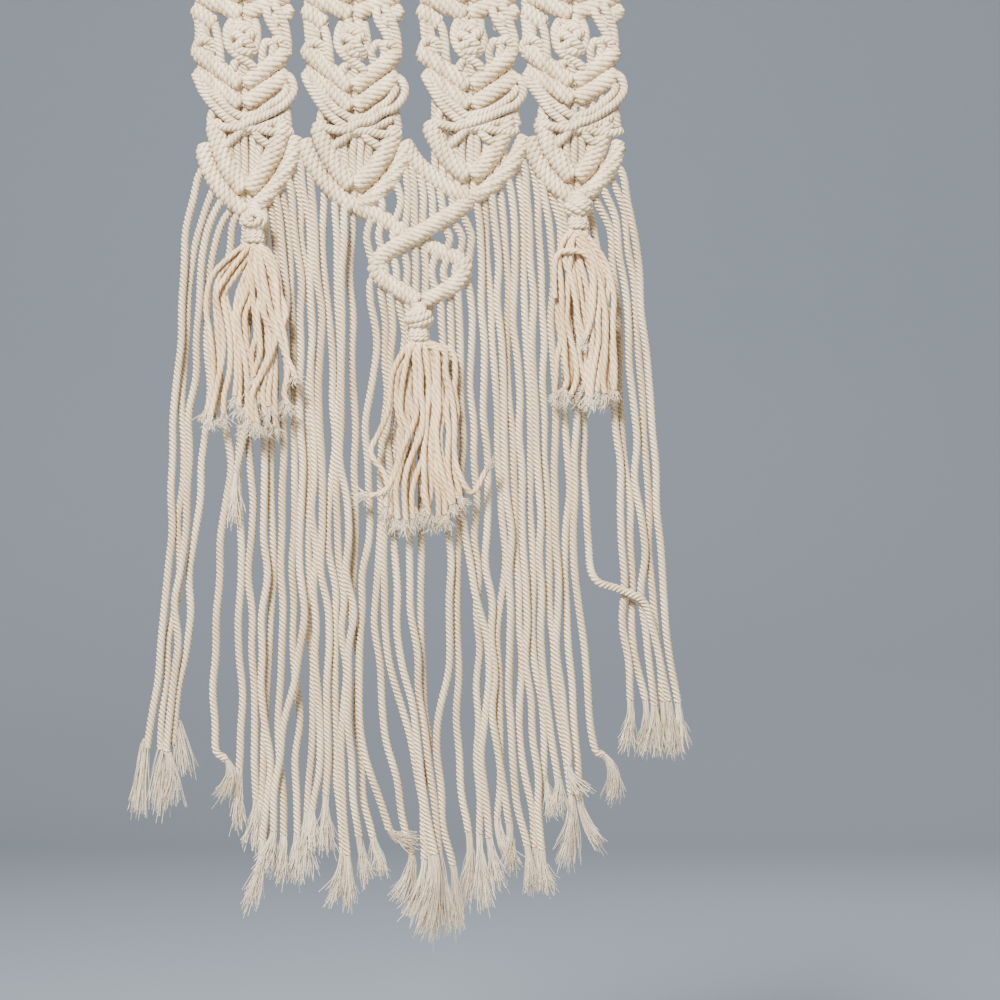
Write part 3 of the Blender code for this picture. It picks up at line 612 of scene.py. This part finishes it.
for index, band in enumerate(BANDS):
    runs = v_runs(band.upper) + v_runs(band.lower)
    runs += v_runs(raised(band.inner), WIDE_REACH, INNER_BOW)
    knot_x, knot_drop = band.knot
    upper, lower, last = v_line(band.upper), v_line(band.lower), v_line(band.inner, INNER_BOW)
    runs += links_between(upper, lower) + links_between(last, v_line(band.outer, OUTER_BOW))
    for end, sweeps, ways_out in ((band.lower.left, SWEEPS_LEFT, OUT_LEFT),
                                  (band.lower.right, SWEEPS_RIGHT, OUT_RIGHT)):
        span, fall = knot_x - end.x, knot_drop - end.drop
        for number, points in enumerate(sweeps):
            path = [(end.x + span * across, front, end.drop + fall * down)
                    for across, front, down in points]
            for x, front, drop in ways_out[number] if number < len(ways_out) else ():
                path.append((knot_x + x, front, knot_drop + drop))
            runs.append((smooth_run(nudged(path)), SWEEP_FAT))
    runs += links_between(lower, last, *UPRIGHT_LINKS)
    for x in UPRIGHTS:
        foot = knot_x + x * 0.9
        runs.append(smooth_run(nudged([
            (knot_x + x * 0.6, 0.6, knot_drop + 0.5), (knot_x + x, 0.9, knot_drop + 8),
            (knot_x + x * 0.94, 0.6, knot_drop + 14), (foot, 0, drop_at(last, foot)),
        ])))
    runs.append(smooth_run([(knot_x - 4.6, 1.4, knot_drop + 0.4), (knot_x, 2.4, knot_drop + 1.6),
                            (knot_x + 5.2, 1.4, knot_drop + 0.2)]))
    made = lay_cords(f"band_{index + 1}_waist", runs, section=wound_round)
    dress(made, "knotted_panel")

# ---------- joined lower rows
# The last rows of the four bands meet at their ends and make one zigzag. The second and third
# bands go on from their points in two long rows that cross, and under them two more close a
# diamond. Short cords fill the space between.
CROSS_DEPTH = 2.0
CROSS_REACH = 1.8
MEETING = Point(2.6, 139.0)
UNDER_BAR = course((-21.4, 127.2), (-12, 130.8), (-4, 136), (3.2, 139.6), (12, 144.8),
                   (23.2, 149.2))
OVER_BAR = course((24.4, 123.6), (18, 129), (12, 132.6), (4, 137.6), (-4, 142), (-15.6, 148.8))
TURN_LEFT = course((-9.4, 145.2), (-12.8, 148.4), (-13.6, 151.8), (-11.6, 155.2))
TURN_RIGHT = course((17.6, 146.8), (21, 149), (21.8, 152.4), (19.4, 156.4))
DIAMOND_LEFT = course((-16, 154), (-5.6, 159.2), (4.4, 165.2))
DIAMOND_RIGHT = course((23.6, 154.4), (15.2, 159.6), (4.4, 165.2))
# Where the second band's row gives way to the third's, where the long rows cross, and the
# diamond's lowest point.
SEAM_X, CROSSING_X, DIAMOND_X = -1.6, 2.0, 4.4
# Short cords, by their x at the top, the middle and the bottom.
TRIANGLE_CORDS = (
    (-12.8, -11, -11.6), (-6.8, -3.6, -6.8), (-2.8, -0.6, -2.2),
    (0, 1.8, 2), (2.8, 5.4, 5), (6.2, 9, 9.4),
    (10.6, 12.6, 14), (15.2, 17, 17.6),
)
LEFT_SIDE_CORDS = ((-15, -17.2, -15), (-11, -12.4, -10.4), (-5.8, -6.8, -5))
RIGHT_SIDE_CORDS = ((11.6, 16, 14.2), (15, 21, 19.8), (19.2, 24.6, 23.6))
DIAMOND_CORDS = (
    (-12.2, -9.6, -9.4), (-8, -5.4, -4.8), (-3.6, -1, -1.8), (1.8, 2.5, 2.4),
    (5.4, 6.4, 6), (11, 8.8, 11), (15.6, 13.4, 15.2), (19.4, 18, 18.8),
)

outer_lines = [v_line(band.outer, OUTER_BOW) for band in BANDS]
half_line = len(outer_lines[0]) // 2
second_left, second_right = outer_lines[1][:half_line], outer_lines[1][half_line:]
third_left, third_right = outer_lines[2][:half_line], outer_lines[2][half_line:]
runs = []
for band in BANDS:
    runs += v_runs(band.outer, EDGE_REACH, OUTER_BOW)
dress(lay_cords("joined_rows", runs, section=wound_round), "fringe")


def crossing_runs(points, depth):
    """A long row that passes its neighbour in front or behind, then turns back below it."""
    away = [abs(point.x - MEETING.x) + abs(point.drop - MEETING.drop) for point in points]
    middle = away.index(min(away))
    fronts = [depth * max(0, cos(pi / 2 * min(1, abs(i - middle) / 3))) for i in range(len(points))]
    return row_runs(points, CROSS_REACH, fronts)


runs = crossing_runs(UNDER_BAR[:-1] + TURN_RIGHT + DIAMOND_RIGHT[1:], -CROSS_DEPTH)
runs += crossing_runs(OVER_BAR[:-1] + TURN_LEFT + DIAMOND_LEFT[1:], CROSS_DEPTH)
dress(lay_cords("crossed_rows", runs, section=wound_round), "fringe")


def short_run(places, above, below):
    """A cord from one row to another, bellied a little to the front and aside."""
    upper_x, middle_x, lower_x = places
    top, bottom = drop_at(above, upper_x), drop_at(below, lower_x)
    half = (top + bottom) / 2
    near_top, near_bottom = (
        (x * 0.4 + middle_x * 0.6, 0.5, drop * 0.55 + half * 0.45)
        for x, drop in ((upper_x, top), (lower_x, bottom))
    )
    return smooth_run([(upper_x, 0, top), near_top, (middle_x, 0.8, half), near_bottom,
                       (lower_x, 0, bottom)])


runs = []
for places in TRIANGLE_CORDS:
    runs.append(short_run(places, second_right if places[0] < SEAM_X else third_left,
                          UNDER_BAR if places[2] < CROSSING_X else OVER_BAR))
runs += [short_run(places, UNDER_BAR, OVER_BAR) for places in LEFT_SIDE_CORDS]
runs += [short_run(places, OVER_BAR, UNDER_BAR) for places in RIGHT_SIDE_CORDS]
for places in DIAMOND_CORDS:
    runs.append(short_run(places, OVER_BAR if places[0] < CROSSING_X else UNDER_BAR,
                          DIAMOND_LEFT if places[2] < DIAMOND_X else DIAMOND_RIGHT))
dress(lay_cords("crossing_cords", runs), "fringe")

# ---------- the long fringe
# Every cord runs on below its row and hangs free, some over their neighbours. Each end is
# unpicked into a soft brush of single threads.
STATION = 40.0              # drop between the places where a cord's x is given
FIRST = 140.0               # drop of the first of them,
DIAMOND_FIRST = 180.0       # and of the first under the diamond
BACK, MID, FRONT = -3.4, 0.0, 3.4
CROSS_DROP = 290.0          # where some cords change their layer
# A cord: its x at the row, its layer, its x at each drop, and where it frays and ends.
Cord = namedtuple("Cord", "root layer hang fray end low_layer", defaults=(None,))
LEFT_CORDS = (
    Cord(-81.6, MID, (-89.2, -92.4, -94.4, -96.4, -99.6, -104), (-104.4, 342), (-108, 368.8)),
    Cord(-77.8, BACK, (-85.6, -89.2, -91.2, -92.8, -96.2, -100.4), (-100.4, 342), (-102, 369)),
    Cord(-74.4, MID, (-82, -85.2, -88, -89.6, -93.6, -97.2), (-96.8, 345), (-96, 366)),
    Cord(-70.8, BACK, (-77.6, -81.6, -82, -86, -91.2, -94.8), (-94.8, 333), (-91, 354)),
    Cord(-68, MID, (-72.4, -76.8, -73, -74.2, -76, -78.4), (-73.6, 348), (-73, 364)),
    Cord(-65.6, BACK, (-65.6, -67, -67.8, -68.6, -67.4, -66.8), (-67.2, 352), (-69, 376)),
    Cord(-63.2, MID, (-63.2, -65.2, -67.4), (-68.6, 233), (-69.6, 252.8)),
    Cord(-61.6, BACK, (-60.8, -62.4, -63.8, -63.6, -63, -62.2), (-62.4, 364), (-63, 384)),
    Cord(-59.6, MID, (-57.6, -58, -59.2, -57.6, -60, -56.4), (-58.6, 380), (-64, 408)),
    Cord(-57.2, BACK, (-54.2, -54.6, -55.6, -56, -56.4, -58), (-58.4, 367), (-58, 384)),
    Cord(-54.8, MID, (-51.2, -50.2, -50.6, -51.2, -51.6, -52.6), (-50.8, 378), (-52, 396)),
    Cord(-52.4, BACK, (-48.4, -47, -46.6, -46.4, -46.8, -44.8), (-46, 378), (-47.2, 397)),
    Cord(-50, MID, (-45.6, -44.4, -43.6, -44, -42.8, -51.2), (-54.4, 376), (-57, 391), FRONT),
    Cord(-48.2, BACK, (-42.4, -40.8, -40.4, -40, -40.8, -38), (-41.6, 369), (-42.4, 396)),
    Cord(-46, MID, (-40.8, -39, -38.8, -38.4, -37.2, -36.4), (-38.2, 368), (-37.6, 384)),
)
LONG_LEFT_CORDS = (
    Cord(-38.8, MID, (-38.4, -35.2, -34.8, -34.8, -33.6, -32.8), (-33.4, 362), (-33.4, 385)),
    Cord(-33.6, BACK, (-34.4, -31.8, -31.8, -31.4, -29, -30.2), (-28.4, 384), (-31, 406)),
    Cord(-29.2, MID, (-30.2, -28.6, -29, -28, -26, -27), (-25.6, 386), (-24, 406)),
    Cord(-25.2, FRONT, (-26.4, -26.2, -26.8, -25.2, -23.6, -24), (-20.8, 378), (-17.6, 397)),
    Cord(-21.6, BACK, (-22.6, -23.8, -22, -22, -21.6, -20.4), (-15.2, 379), (-11.2, 395)),
)
DIAMOND_LEFT_CORDS = (
    Cord(-14.8, MID, (-13.6, -17.6, -16.4, -20.4, -19.6), (-8.8, 376), (1.2, 383)),
    Cord(-10.8, BACK, (-10, -11.4, -12.4, -13.2, -10), (-0.2, 386), (-3.2, 407)),
    Cord(-7, MID, (-6.8, -8.4, -9.2, -9.2, -0.4), (8.4, 386), (4.8, 417)),
    Cord(-3.4, BACK, (-3.4, -5.6, -6, -4, 2.2), (10.8, 385), (10, 420), FRONT),
    Cord(0, MID, (-0.2, -1.2, -1.2, 2, 6), (13, 384), (14.4, 418)),
)
DIAMOND_RIGHT_CORDS = (
    Cord(7.6, BACK, (6.6, 4.4, 4, 5.6, 6.8), (5.6, 388), (0.8, 414)),
    Cord(11.2, MID, (12.8, 14.2, 16, 16, 11.2), (17.4, 390), (20, 416)),
    Cord(14.8, BACK, (16.6, 17.6, 18.8, 20, 19.6), (23, 377), (21.8, 406)),
    Cord(18.6, MID, (20.2, 20.2, 22.4, 29.6, 30.8), (31.2, 379), (34.4, 399)),
    Cord(22.4, BACK, (25.2, 25.2, 26.8, 26.8, 27.4), (27.2, 378), (28.6, 408)),
)
LONG_RIGHT_CORDS = (
    Cord(25.8, MID, (28.6, 29.4, 29.6, 31, 33.2, 34.8), (39.4, 373), (39.6, 392)),
    Cord(28.8, BACK, (31.2, 33, 34.2, 37, 34.4, 36), (36.2, 372), (42.6, 391)),
    Cord(32, MID, (34.6, 36.2, 37.6, 40, 39.2, 40.4), (46.8, 382), (48.8, 401)),
    Cord(35.2, BACK, (38.2, 39.4, 41, 42, 44, 44.8), (50, 383), (52.8, 401)),
    Cord(38.4, MID, (42, 42.6, 44.4, 45.6, 47, 48.6), (54, 384), (57.2, 401)),
    Cord(41.2, BACK, (45.6, 46.2, 47.8, 48.8, 50, 53), (54, 355), (55.2, 371)),
    Cord(43.6, MID, (49, 49.6, 51.6, 51.8, 52.8, 56.2), (57.6, 355), (59.6, 370)),
)
RIGHT_CORDS = (
    Cord(50, BACK, (53, 53.2, 54.8, 55.4, 56.4, 60.2), (64.8, 362), (64, 392)),
    Cord(53.2, MID, (56.6, 56.6, 58.2, 59, 59.4, 62.6), (62.4, 350), (68.8, 362.4)),
    Cord(57.4, BACK, (60.2, 61, 62.6, 63.2, 64, 66), (69.2, 364), (76, 384)),
    Cord(61.6, MID, (63.4, 64.6, 66.6, 66.4, 68.8, 73.2), (76.8, 346), (82, 364)),
    Cord(65.6, BACK, (67.2, 68.4, 70.2, 71.2), (103, 324), (106.4, 345), FRONT),
    Cord(69.6, MID, (75.6, 80, 82.8, 85.2, 85.6), (89.2, 324), (86.8, 344)),
    Cord(72.8, BACK, (79.6, 83.2, 85.8, 88.4, 89.6), (93.6, 324), (93.2, 346)),
    Cord(76, MID, (83.2, 87.2, 90.2, 92, 94.4), (98, 326), (99.6, 346)),
    Cord(79.2, BACK, (86.6, 90.8, 93.8, 95.8, 98.4), (101.6, 325), (103.6, 345)),
    Cord(82, MID, (90.2, 94.6, 97.6, 99.6, 102.4), (106, 325), (109.2, 344)),
)
# One cord of the right-hand group swings across in front of its neighbours.
SWING_CORD = 4
SWING = course((74, 275), (83, 279.5), (93, 284.5), (98.2, 296))
ASIDE = 1.7                 # how far downhill a cord leaves its row
ROOM = 24.0                 # above this drop from the row, a cord's way out is shaped once more

THREADS = 80
THREAD = 0.40               # diameter of one thread
THREAD_POINTS = 8
BRUSH = 3.4                 # how far the threads of one end spread
LOCKS = 6
LOCK_SPREAD, INNER_SPREAD = 0.62, 0.26  # of the locks, and of the threads within one
CURL, HOOK, WAVE = 0.13, 0.9, 0.42      # how a thread curls, hooks at its tip and waves
WANDER, WANDER_SPACING = 0.85, 14.0     # how far a cord strays from its course, and how often
thread_section = cord_section("thread_section", 3, (1.0,))


def layer_below(row):
    return row.layer if row.low_layer is None else row.low_layer


def eased(count, steps):
    """Shares that grow from 0 to 1 in the first part of a cord."""
    return np.clip(np.linspace(0, steps, count), 0, 1)


def wander(count):
    """A slow sideways drift along a cord, none at its top."""
    marks = max(3, int(count * STEP / WANDER_SPACING))
    places = np.linspace(0, marks - 1, count)
    drift = np.interp(places, np.arange(marks), rng.normal(0, WANDER, marks))
    soft = np.convolve(np.pad(drift, 8, mode="edge"), np.ones(17) / 17, mode="valid")
    return soft * eased(count, 12)


def long_run(row, first, bar, detour=()):
    low = layer_below(row)
    start = drop_at(bar, row.root)
    aside = ASIDE if drop_at(bar, row.root + 1.5) < drop_at(bar, row.root - 1.5) else -ASIDE
    above, below = row.root - aside / 2, row.root + aside / 2
    path = [(above, row.layer * 0.4, start), (below, row.layer * 0.5, start + 2.6)]
    if first - start > ROOM:
        path.append((below + (row.hang[0] - row.root) * 0.45, row.layer * 0.8, start + 10))
    for step, x in enumerate(row.hang):
        drop = first + STATION * step
        path.append((x, row.layer if drop < CROSS_DROP else low, drop))
    path += [(point.x, low, point.drop) for point in detour]
    path.append((row.fray[0], low, row.fray[1]))
    run = smooth_run(path)
    count = len(run)
    run[:, 0] += wander(count)
    run[:, 1] += (0.5 * wander(count) + rng.uniform(-0.8, 0.8)) * eased(count, 8)
    return run


def brush(tail, tip, width, threads=THREADS, root=1.3):
    """The threads of one frayed end: they leave the cord in a few locks and fan out."""
    start, tip = tail[-2], np.array(tip, float)
    ahead = (tail[-1] - tail[0]) / np.linalg.norm(tail[-1] - tail[0])
    length = np.linalg.norm(tip - start)
    side = np.cross((tip - start) / length, FORWARD)
    shares = np.linspace(0, 1, THREAD_POINTS)[:, None]
    way = bent(start, start + ahead * length * 0.45, tip, shares)
    locks = rng.normal(0, LOCK_SPREAD, (LOCKS, 2)) * width * (1.0, 0.45)
    made = []
    for _ in range(threads):
        turn, out = rng.uniform(0, 2 * pi), root * np.sqrt(rng.uniform())
        lock = locks[rng.integers(LOCKS)] + rng.normal(0, INNER_SPREAD, 2) * width
        reach = 0.88 + rng.normal(0, 0.10)
        wave = rng.uniform(0, 2 * pi) + shares * rng.uniform(5, 10)
        hook = rng.normal(0, HOOK, 3) * shares ** 4
        curl = (np.cumsum(rng.normal(0, CURL, (THREAD_POINTS, 3)), axis=0) * shares * width / 2
                + WAVE * shares * (side * np.sin(wave) + FORWARD * np.cos(wave)) + hook)
        made.append(start + (way - start) * reach
                    + (side * cos(turn) + FORWARD * sin(turn)) * out * (1 - 0.5 * shares)
                    + (side * lock[0] + FORWARD * lock[1]) * shares ** 1.5 + curl)
    return made


def lay_threads(name, rows):
    """One mesh of fine threads, three-sided, and thinner at the tip."""
    data = cord_curve(name, thread_section)
    for points in rows:
        add_run(data, points, np.linspace(1.0, 0.5, len(points)) * THREAD / 2)
    return made_mesh(name, data)


GROUPS = (
    ("left_fringe", LEFT_CORDS, FIRST, outer_lines[0]),
    ("left_middle_fringe", LONG_LEFT_CORDS, FIRST, second_left + UNDER_BAR),
    ("diamond_left_fringe", DIAMOND_LEFT_CORDS, DIAMOND_FIRST, DIAMOND_LEFT),
    ("diamond_right_fringe", DIAMOND_RIGHT_CORDS, DIAMOND_FIRST, DIAMOND_RIGHT),
    ("right_middle_fringe", LONG_RIGHT_CORDS, FIRST, third_right),
    ("right_fringe", RIGHT_CORDS, FIRST, outer_lines[3]),
)
thread_cotton = cotton_material(
    "loose_threads", (0.74, 0.62, 0.455, 1), (0.58, 0.455, 0.305, 1), 0, 0, 0.1
)
for name, rows, first, bar in GROUPS:
    runs, threads = [], []
    for number, row in enumerate(rows):
        swings = rows is RIGHT_CORDS and number == SWING_CORD
        run = long_run(row, first, bar, SWING if swings else ())
        runs.append(run)
        threads += brush(run[-4:], (row.end[0], layer_below(row), row.end[1]), BRUSH)
    dress(lay_cords(name, runs), "fringe")
    dress(lay_threads(name + "_ends", threads), "fringe", thread_cotton)

# ---------- tassels
# Each tassel hangs from a ball of wound cord. Thin, hardly twisted strands come out below a few
# tight turns of cord at its neck; they fall in waves across each other, and their ends are loose.
STRAND = 2.5                # diameter
STRAND_LAY = 9.0
STRAND_STEP = STRAND_LAY / 8
STRAND_WANDER, STRAND_NUDGE = 0.35, 0.3
STRANDS_BELOW = 13.0        # drop from the head to the first place where a strand's x is given,
FALL = 8.0                  # and from each to the next
TUFT = 5.5                  # length of the loose end of a strand
TUFT_SPREAD, TUFT_THREADS, TUFT_ROOT = 2.6, 36, 0.9
# One strand: how far it stands in front, its x from the head at each fall, and its end.
LEFT_STRANDS = (
    (0, (-8, -16.4, -18.4, -18.4, -17.6, -16.4, -16, -17.2), (-20, 213.6)),
    (-1.4, (-5.6, -13.6, -15.6, -15.2, -14.4, -14, -14, -15.2), (-16, 215.2)),
    (2.2, (-3.6, -9.6, -14.4, -13.6, -12, -12.4, -14, -15.6), (-18, 216)),
    (0.6, (-2.4, -6.4, -12, -11.2, -9.6, -9.2, -10, -11.2), (-12.8, 215.2)),
    (-1.2, (-1.6, -4, -6.8, -8, -7.2, -6.4, -6, -6), (-6.4, 212)),
    (1.2, (-0.8, -2, -3.6, -6, -6, -4.4, -3.2, -2.4), (-2.4, 216.8)),
    (-0.4, (0.4, 0, -1.2, -3.6, -3.2, -2.4, -2, 0), (2.4, 212)),
    (2.8, (0.8, 0.8, 2.4, 4.8, 8.4, 7.2, 3.6, 0.4), (-0.8, 218.4)),
    (1.8, (2.4, 4, 5.2, 7.2, 10, 12, 15.6), (17.2, 198)),
    (0.4, (4, 7.6, 10, 12, 9.2, 7.2, 6.4, 5.6), (6.4, 212)),
    (-1, (5.6, 8.8, 10.8, 11.2, 11.2, 12.4, 13.6, 13.2), (11.2, 208.8)),
    (2, (1.2, 2.4, 2.8, 1.2, 2, 2.4, 0.4), (-0.4, 200.8)),
    (0.8, (0, -0.8, -0.4, 0.4, 1.2, -0.8, -0.4, 1.6), (2.4, 208)),
    (2.4, (2, 4, 4, 4.4, 6.4, 6.4, 2.4, 0), (2.4, 219.2)),
    (-1.6, (1.6, 2.8, 3.2, 4, 5.6, 4.8, 4, 4.8), (4.8, 218.4)),
    (-0.6, (3.2, 6, 7.6, 8.4, 9.2, 8, 8.4, 8), (8.8, 219.2)),
    (1.4, (4.8, 8.4, 9.6, 10.4, 11.6, 12.8, 12.8, 12), (15.2, 211.2)),
    (-1.8, (-0.4, -2.8, -4.8, -4, -2.8, -3.6, -2.8, -1.6), (-4.8, 212)),
    (1, (3.6, 6.8, 8.8, 9.6, 8, 5.6, 4.8, 3.2), (5.6, 216)),
    (-0.8, (-2, -8, -11.2, -9.6, -8, -8, -7.2), (-8, 208)),
)
CENTRE_STRANDS = (
    (2.2, (-5.8, -10.2, -11.4, -11.8, -15.8, -19, -14.2), (-10.6, 243.2)),
    (0.4, (-4.6, -8.2, -9, -8.6, -6.6, -7, -10.2, -12.6), (-13.4, 252)),
    (2.6, (-3.8, -5.8, -7, -7, -4.6, -7, -9.4, -14.2), (-25, 243.6)),
    (-0.8, (-3, -3.8, -3.8, -4.2, -4.2, -6.6, -9, -11), (-11.8, 255.2)),
    (1.8, (-1.4, -1.4, -1, -1, -3, -5.8, -7.8, -9), (-7.8, 256.8)),
    (2.6, (-0.2, 0.6, 0.6, 1.8, 1, -2.2, -5, -6.2), (-4.6, 257.6)),
    (0.2, (1.4, 3, 3, 1.8, 1.8, 1.8, -0.6, -3), (-2.2, 256.8)),
    (1.4, (3, 3.8, 4.2, 3.4, 2.6, 1.8, 1.8, 2.2), (5, 255.2)),
    (-1.2, (4.6, 4.6, 4.6, 4.6, 3.4, 2.6, 2.2, 1.8), (6.6, 256.8)),
    (1, (5.8, 6.6, 6.6, 5.8, 5.8, 6.6, 7.4, 9.8), (11, 255.2)),
    (2.4, (6.6, 7.8, 7.8, 7.4, 7, 7.4, 9, 11.8), (13.8, 251.2)),
    (0, (8.2, 8.6, 9, 9.4, 8.2, 9, 11.4, 13.8), (19.4, 247.2)),
    (1.6, (10.6, 11, 11, 11, 11.8, 11, 11.4, 13), (14.6, 250.4)),
    (-0.6, (13, 14.2, 14.6, 15.4, 13.8, 13, 14.6, 15.8), (17, 247.2)),
    (2.8, (9.8, 10.6, 12.2, 13.8, 15, 14.2, 15.4, 21), (29.8, 227.6)),
    (-1.6, (1, 1.8, 0.2, -0.2, 0.2, 0.6, 4.2, 5), (2.6, 252)),
    (-1, (-1.4, -2.6, -3.4, -2.6, -0.6, -2.2, -3, -4.6), (1, 254.4)),
    (-0.2, (3.4, 5.8, 7, 6.6, 5, 4.6, 5.8, 7.4), (8.2, 256)),
    (-1.4, (-3.4, -5.8, -5.4, -5.4, -7.8, -8.2, -7.8, -9.4), (-9.4, 252.8)),
)
RIGHT_STRANDS = (
    (0.4, (-4.8, -8.8, -9.6, -8.8, -8, -7.2, -8.8, -8.8), (-10.4, 206.4)),
    (-1, (-4, -6.4, -6.4, -5.2, -4, -2.4, -1.2, -0.4), (-3.2, 204.8)),
    (1.8, (-3.2, -4.8, -3.2, -1.2, 0, 2.4), (3.2, 184.8)),
    (1, (-2.4, -2.8, -4, -4.8, -4.8, -3.6, -1.6, -1.2), (-4.8, 207.2)),
    (-1.6, (-1.2, -0.8, 0, 1.2, 2.4, 2, 0.8, 0), (2.4, 207.2)),
    (2, (0.8, 4, 7.2, 8.4, 8, 7.6, 6.8, 4.8), (4.8, 208.8)),
    (0.6, (2.4, 6.4, 9.6, 8.8, 9.6, 9.2, 8.4, 7.6), (7.2, 206.4)),
    (-0.6, (4, 8.4, 11.6, 11.6, 10.4, 12, 13.2, 13.6), (14.4, 204.8)),
    (1.4, (0, 3.2, 5.6, 5.2, 4.8, 5.6, 5.6, 4), (3.2, 208)),
    (2.4, (1.6, 5.6, 8, 10, 11.2, 10.4, 10.4, 9.6), (11.2, 207.2)),
    (-1.2, (3.2, 7.2, 8.8, 10.4, 12, 12.8, 12.4, 11.6), (12, 208)),
    (2.2, (-6, -8, -7.2, -6.4, -6.4, -6.4, -5.6, -4.8), (-7.2, 204.8)),
    (-0.4, (-1.6, -2.4, -2, -0.8, -0.4, 0, 0.4, 2), (0.8, 203.2)),
    (0.8, (4.8, 10, 12.8, 13.6, 13.6, 14, 14.4, 14.4), (13.6, 205.6)),
    (-1.8, (-4.4, -7.2, -8, -7.6, -6.4, -4.8, -3.2, -2.8), (-4.8, 202.4)),
    (0, (-0.8, 0.8, 2.8, 4, 4, 3.2, 3.2, 3.2), (5.6, 204.8)),
)
# How each hangs: its head's middle, how far in front, and the head's axis tipped back and aside.
Tassel = namedtuple("Tassel", "name head front tilt strands")
TASSELS = (
    Tassel("left", Point(-61.6, 133), 7.3, (76, 14), LEFT_STRANDS),
    Tassel("centre", Point(3.8, 172), 6.2, (18, 12), CENTRE_STRANDS),
    Tassel("right", Point(67.2, 127.6), 7, (10, -38), RIGHT_STRANDS),
)
# One strand of the right tassel arches over the others.
LOOSE_LOOP = (
    (-9.6, 164), (-9.8, 156), (-9.4, 149.5), (-7.6, 146.2), (-4.4, 145.4), (0.2, 145.6),
    (3.6, 147.8), (5.8, 153.4), (6, 162), (5.2, 171), (3.2, 178.4),
)
LOOP_FRONT = 3.4
LOOP_TIP = (0.8, 3.6, 184.6)
LOOP_SPREAD, LOOP_THREADS = 2.4, 46
HEAD_SIZE = (4.6, 4.2, 3.4)
HEAD_RADIUS = 4.0           # about their mean
HEAD_TURNS = 5.3
CORE_FAT = 2.2
# The cords between head and neck: x from the middle, front, and drop below the head's middle.
NECK_CORDS = 7
NECK_COURSE = ((2.4, 1.8, 3.4), (2.8, 2, 5.4), (3, 1.9, 8), (3.4, 2, 12))
NECK_DROPS = (5.2, 7.4, 9.6)
WRAP_REACH, WRAP_PITCH, WRAP_CORD = 3.5, 1.5, 2.0
soft_ply = cord_section("soft_ply_section", 3, (0.93, 1.0))
strand_cotton = cotton_material(
    "tassel_cotton", (0.86, 0.62, 0.36, 1), (0.64, 0.42, 0.21, 1), 3, 0.0003
)
wound_cotton = cotton_material(
    "wound_cotton", (0.89, 0.70, 0.47, 1), (0.72, 0.53, 0.32, 1), 3, 0.0003
)


def ball_of_cord(middle, tilt):
    """Cord wound into a ball, from one pole to the other, about an axis tipped back and aside."""
    share = np.linspace(0.04, 0.96, int(HEAD_TURNS * 2 * pi * HEAD_RADIUS / STEP))
    down = pi * share
    about = 2 * pi * HEAD_TURNS * share
    wide = np.sin(down)
    ball = np.column_stack((wide * np.cos(about), wide * np.sin(about), -np.cos(down)))
    lean, turn = (radians(angle) for angle in tilt)
    about_x = np.array(((1, 0, 0), (0, cos(lean), -sin(lean)), (0, sin(lean), cos(lean))))
    about_y = np.array(((cos(turn), 0, sin(turn)), (0, 1, 0), (-sin(turn), 0, cos(turn))))
    return np.array(middle) + (ball @ about_x.T @ about_y.T) * HEAD_SIZE


def strand_run(spec, layer, hang, tip):
    """One strand from inside the neck almost to its tip, where it goes over into a tuft."""
    hx, hd = spec.head
    lean = hang[0] / 10
    path = [(hx + 1.9 * lean, spec.front + layer * 0.3, hd + 6.5),
            (hx + 2.8 * lean, spec.front + layer * 0.6, hd + 9.5)]
    for step, x in enumerate(hang):
        front = spec.front + layer + rng.normal(0, STRAND_WANDER)
        path.append((hx + x, front, hd + STRANDS_BELOW + FALL * step))
    last = np.array(path[-1])
    reach = np.array(tip) - last
    path.append(tuple(last + reach * max(0.2, 1 - TUFT / np.linalg.norm(reach))))
    return smooth_run(nudged(path, STRAND_NUDGE), STRAND_STEP)


for spec in TASSELS:
    hx, hd = spec.head
    node = "tassel_" + spec.name
    head = [ball_of_cord((hx, spec.front, hd), spec.tilt)]
    core = [(hx, spec.front - 2, hd - 5.5), (hx, spec.front, hd - 1), (hx, spec.front, hd + 4)]
    head.append((smooth_run(core), CORE_FAT))
    for number in range(NECK_CORDS):
        turn = 2 * pi * number / NECK_CORDS
        head.append(smooth_run([
            (hx + aside * sin(turn), spec.front + front * cos(turn), hd + drop)
            for aside, front, drop in NECK_COURSE
        ]))
    runs, threads = [], []
    for layer, hang, (tip_x, tip_drop) in spec.strands:
        tip = (hx + tip_x, spec.front + layer, tip_drop)
        runs.append(strand_run(spec, layer, hang, tip))
        threads += brush(runs[-1][-4:], tip, TUFT_SPREAD, TUFT_THREADS, TUFT_ROOT)
    if spec.name == "right":
        loop = [(hx + x, spec.front + LOOP_FRONT, drop) for x, drop in LOOSE_LOOP]
        runs.append(smooth_run(loop, STRAND_STEP))
        tip = (hx + LOOP_TIP[0], spec.front + LOOP_TIP[1], LOOP_TIP[2])
        threads += brush(runs[-1][-4:], tip, LOOP_SPREAD, LOOP_THREADS, TUFT_ROOT)
    dress(lay_cords(node + "_head", head, section=soft_ply), node, wound_cotton)
    strands = lay_cords(node + "_strands", runs, STRAND, soft_ply, STRAND_LAY)
    dress(strands, node, strand_cotton)
    dress(lay_threads(node + "_ends", threads), node, thread_cotton)
    neck = "neck_wrap_" + spec.name
    path = [(hx, spec.front, hd + drop) for drop in NECK_DROPS]
    turns = hitch_turns(path, WRAP_REACH, WRAP_PITCH, WRAP_CORD)
    dress(lay_cords(neck + "_turns", [turns], section=soft_ply), neck, wound_cotton)

for section in (three_ply, wound_round, soft_ply, thread_section):
    bpy.data.objects.remove(section)
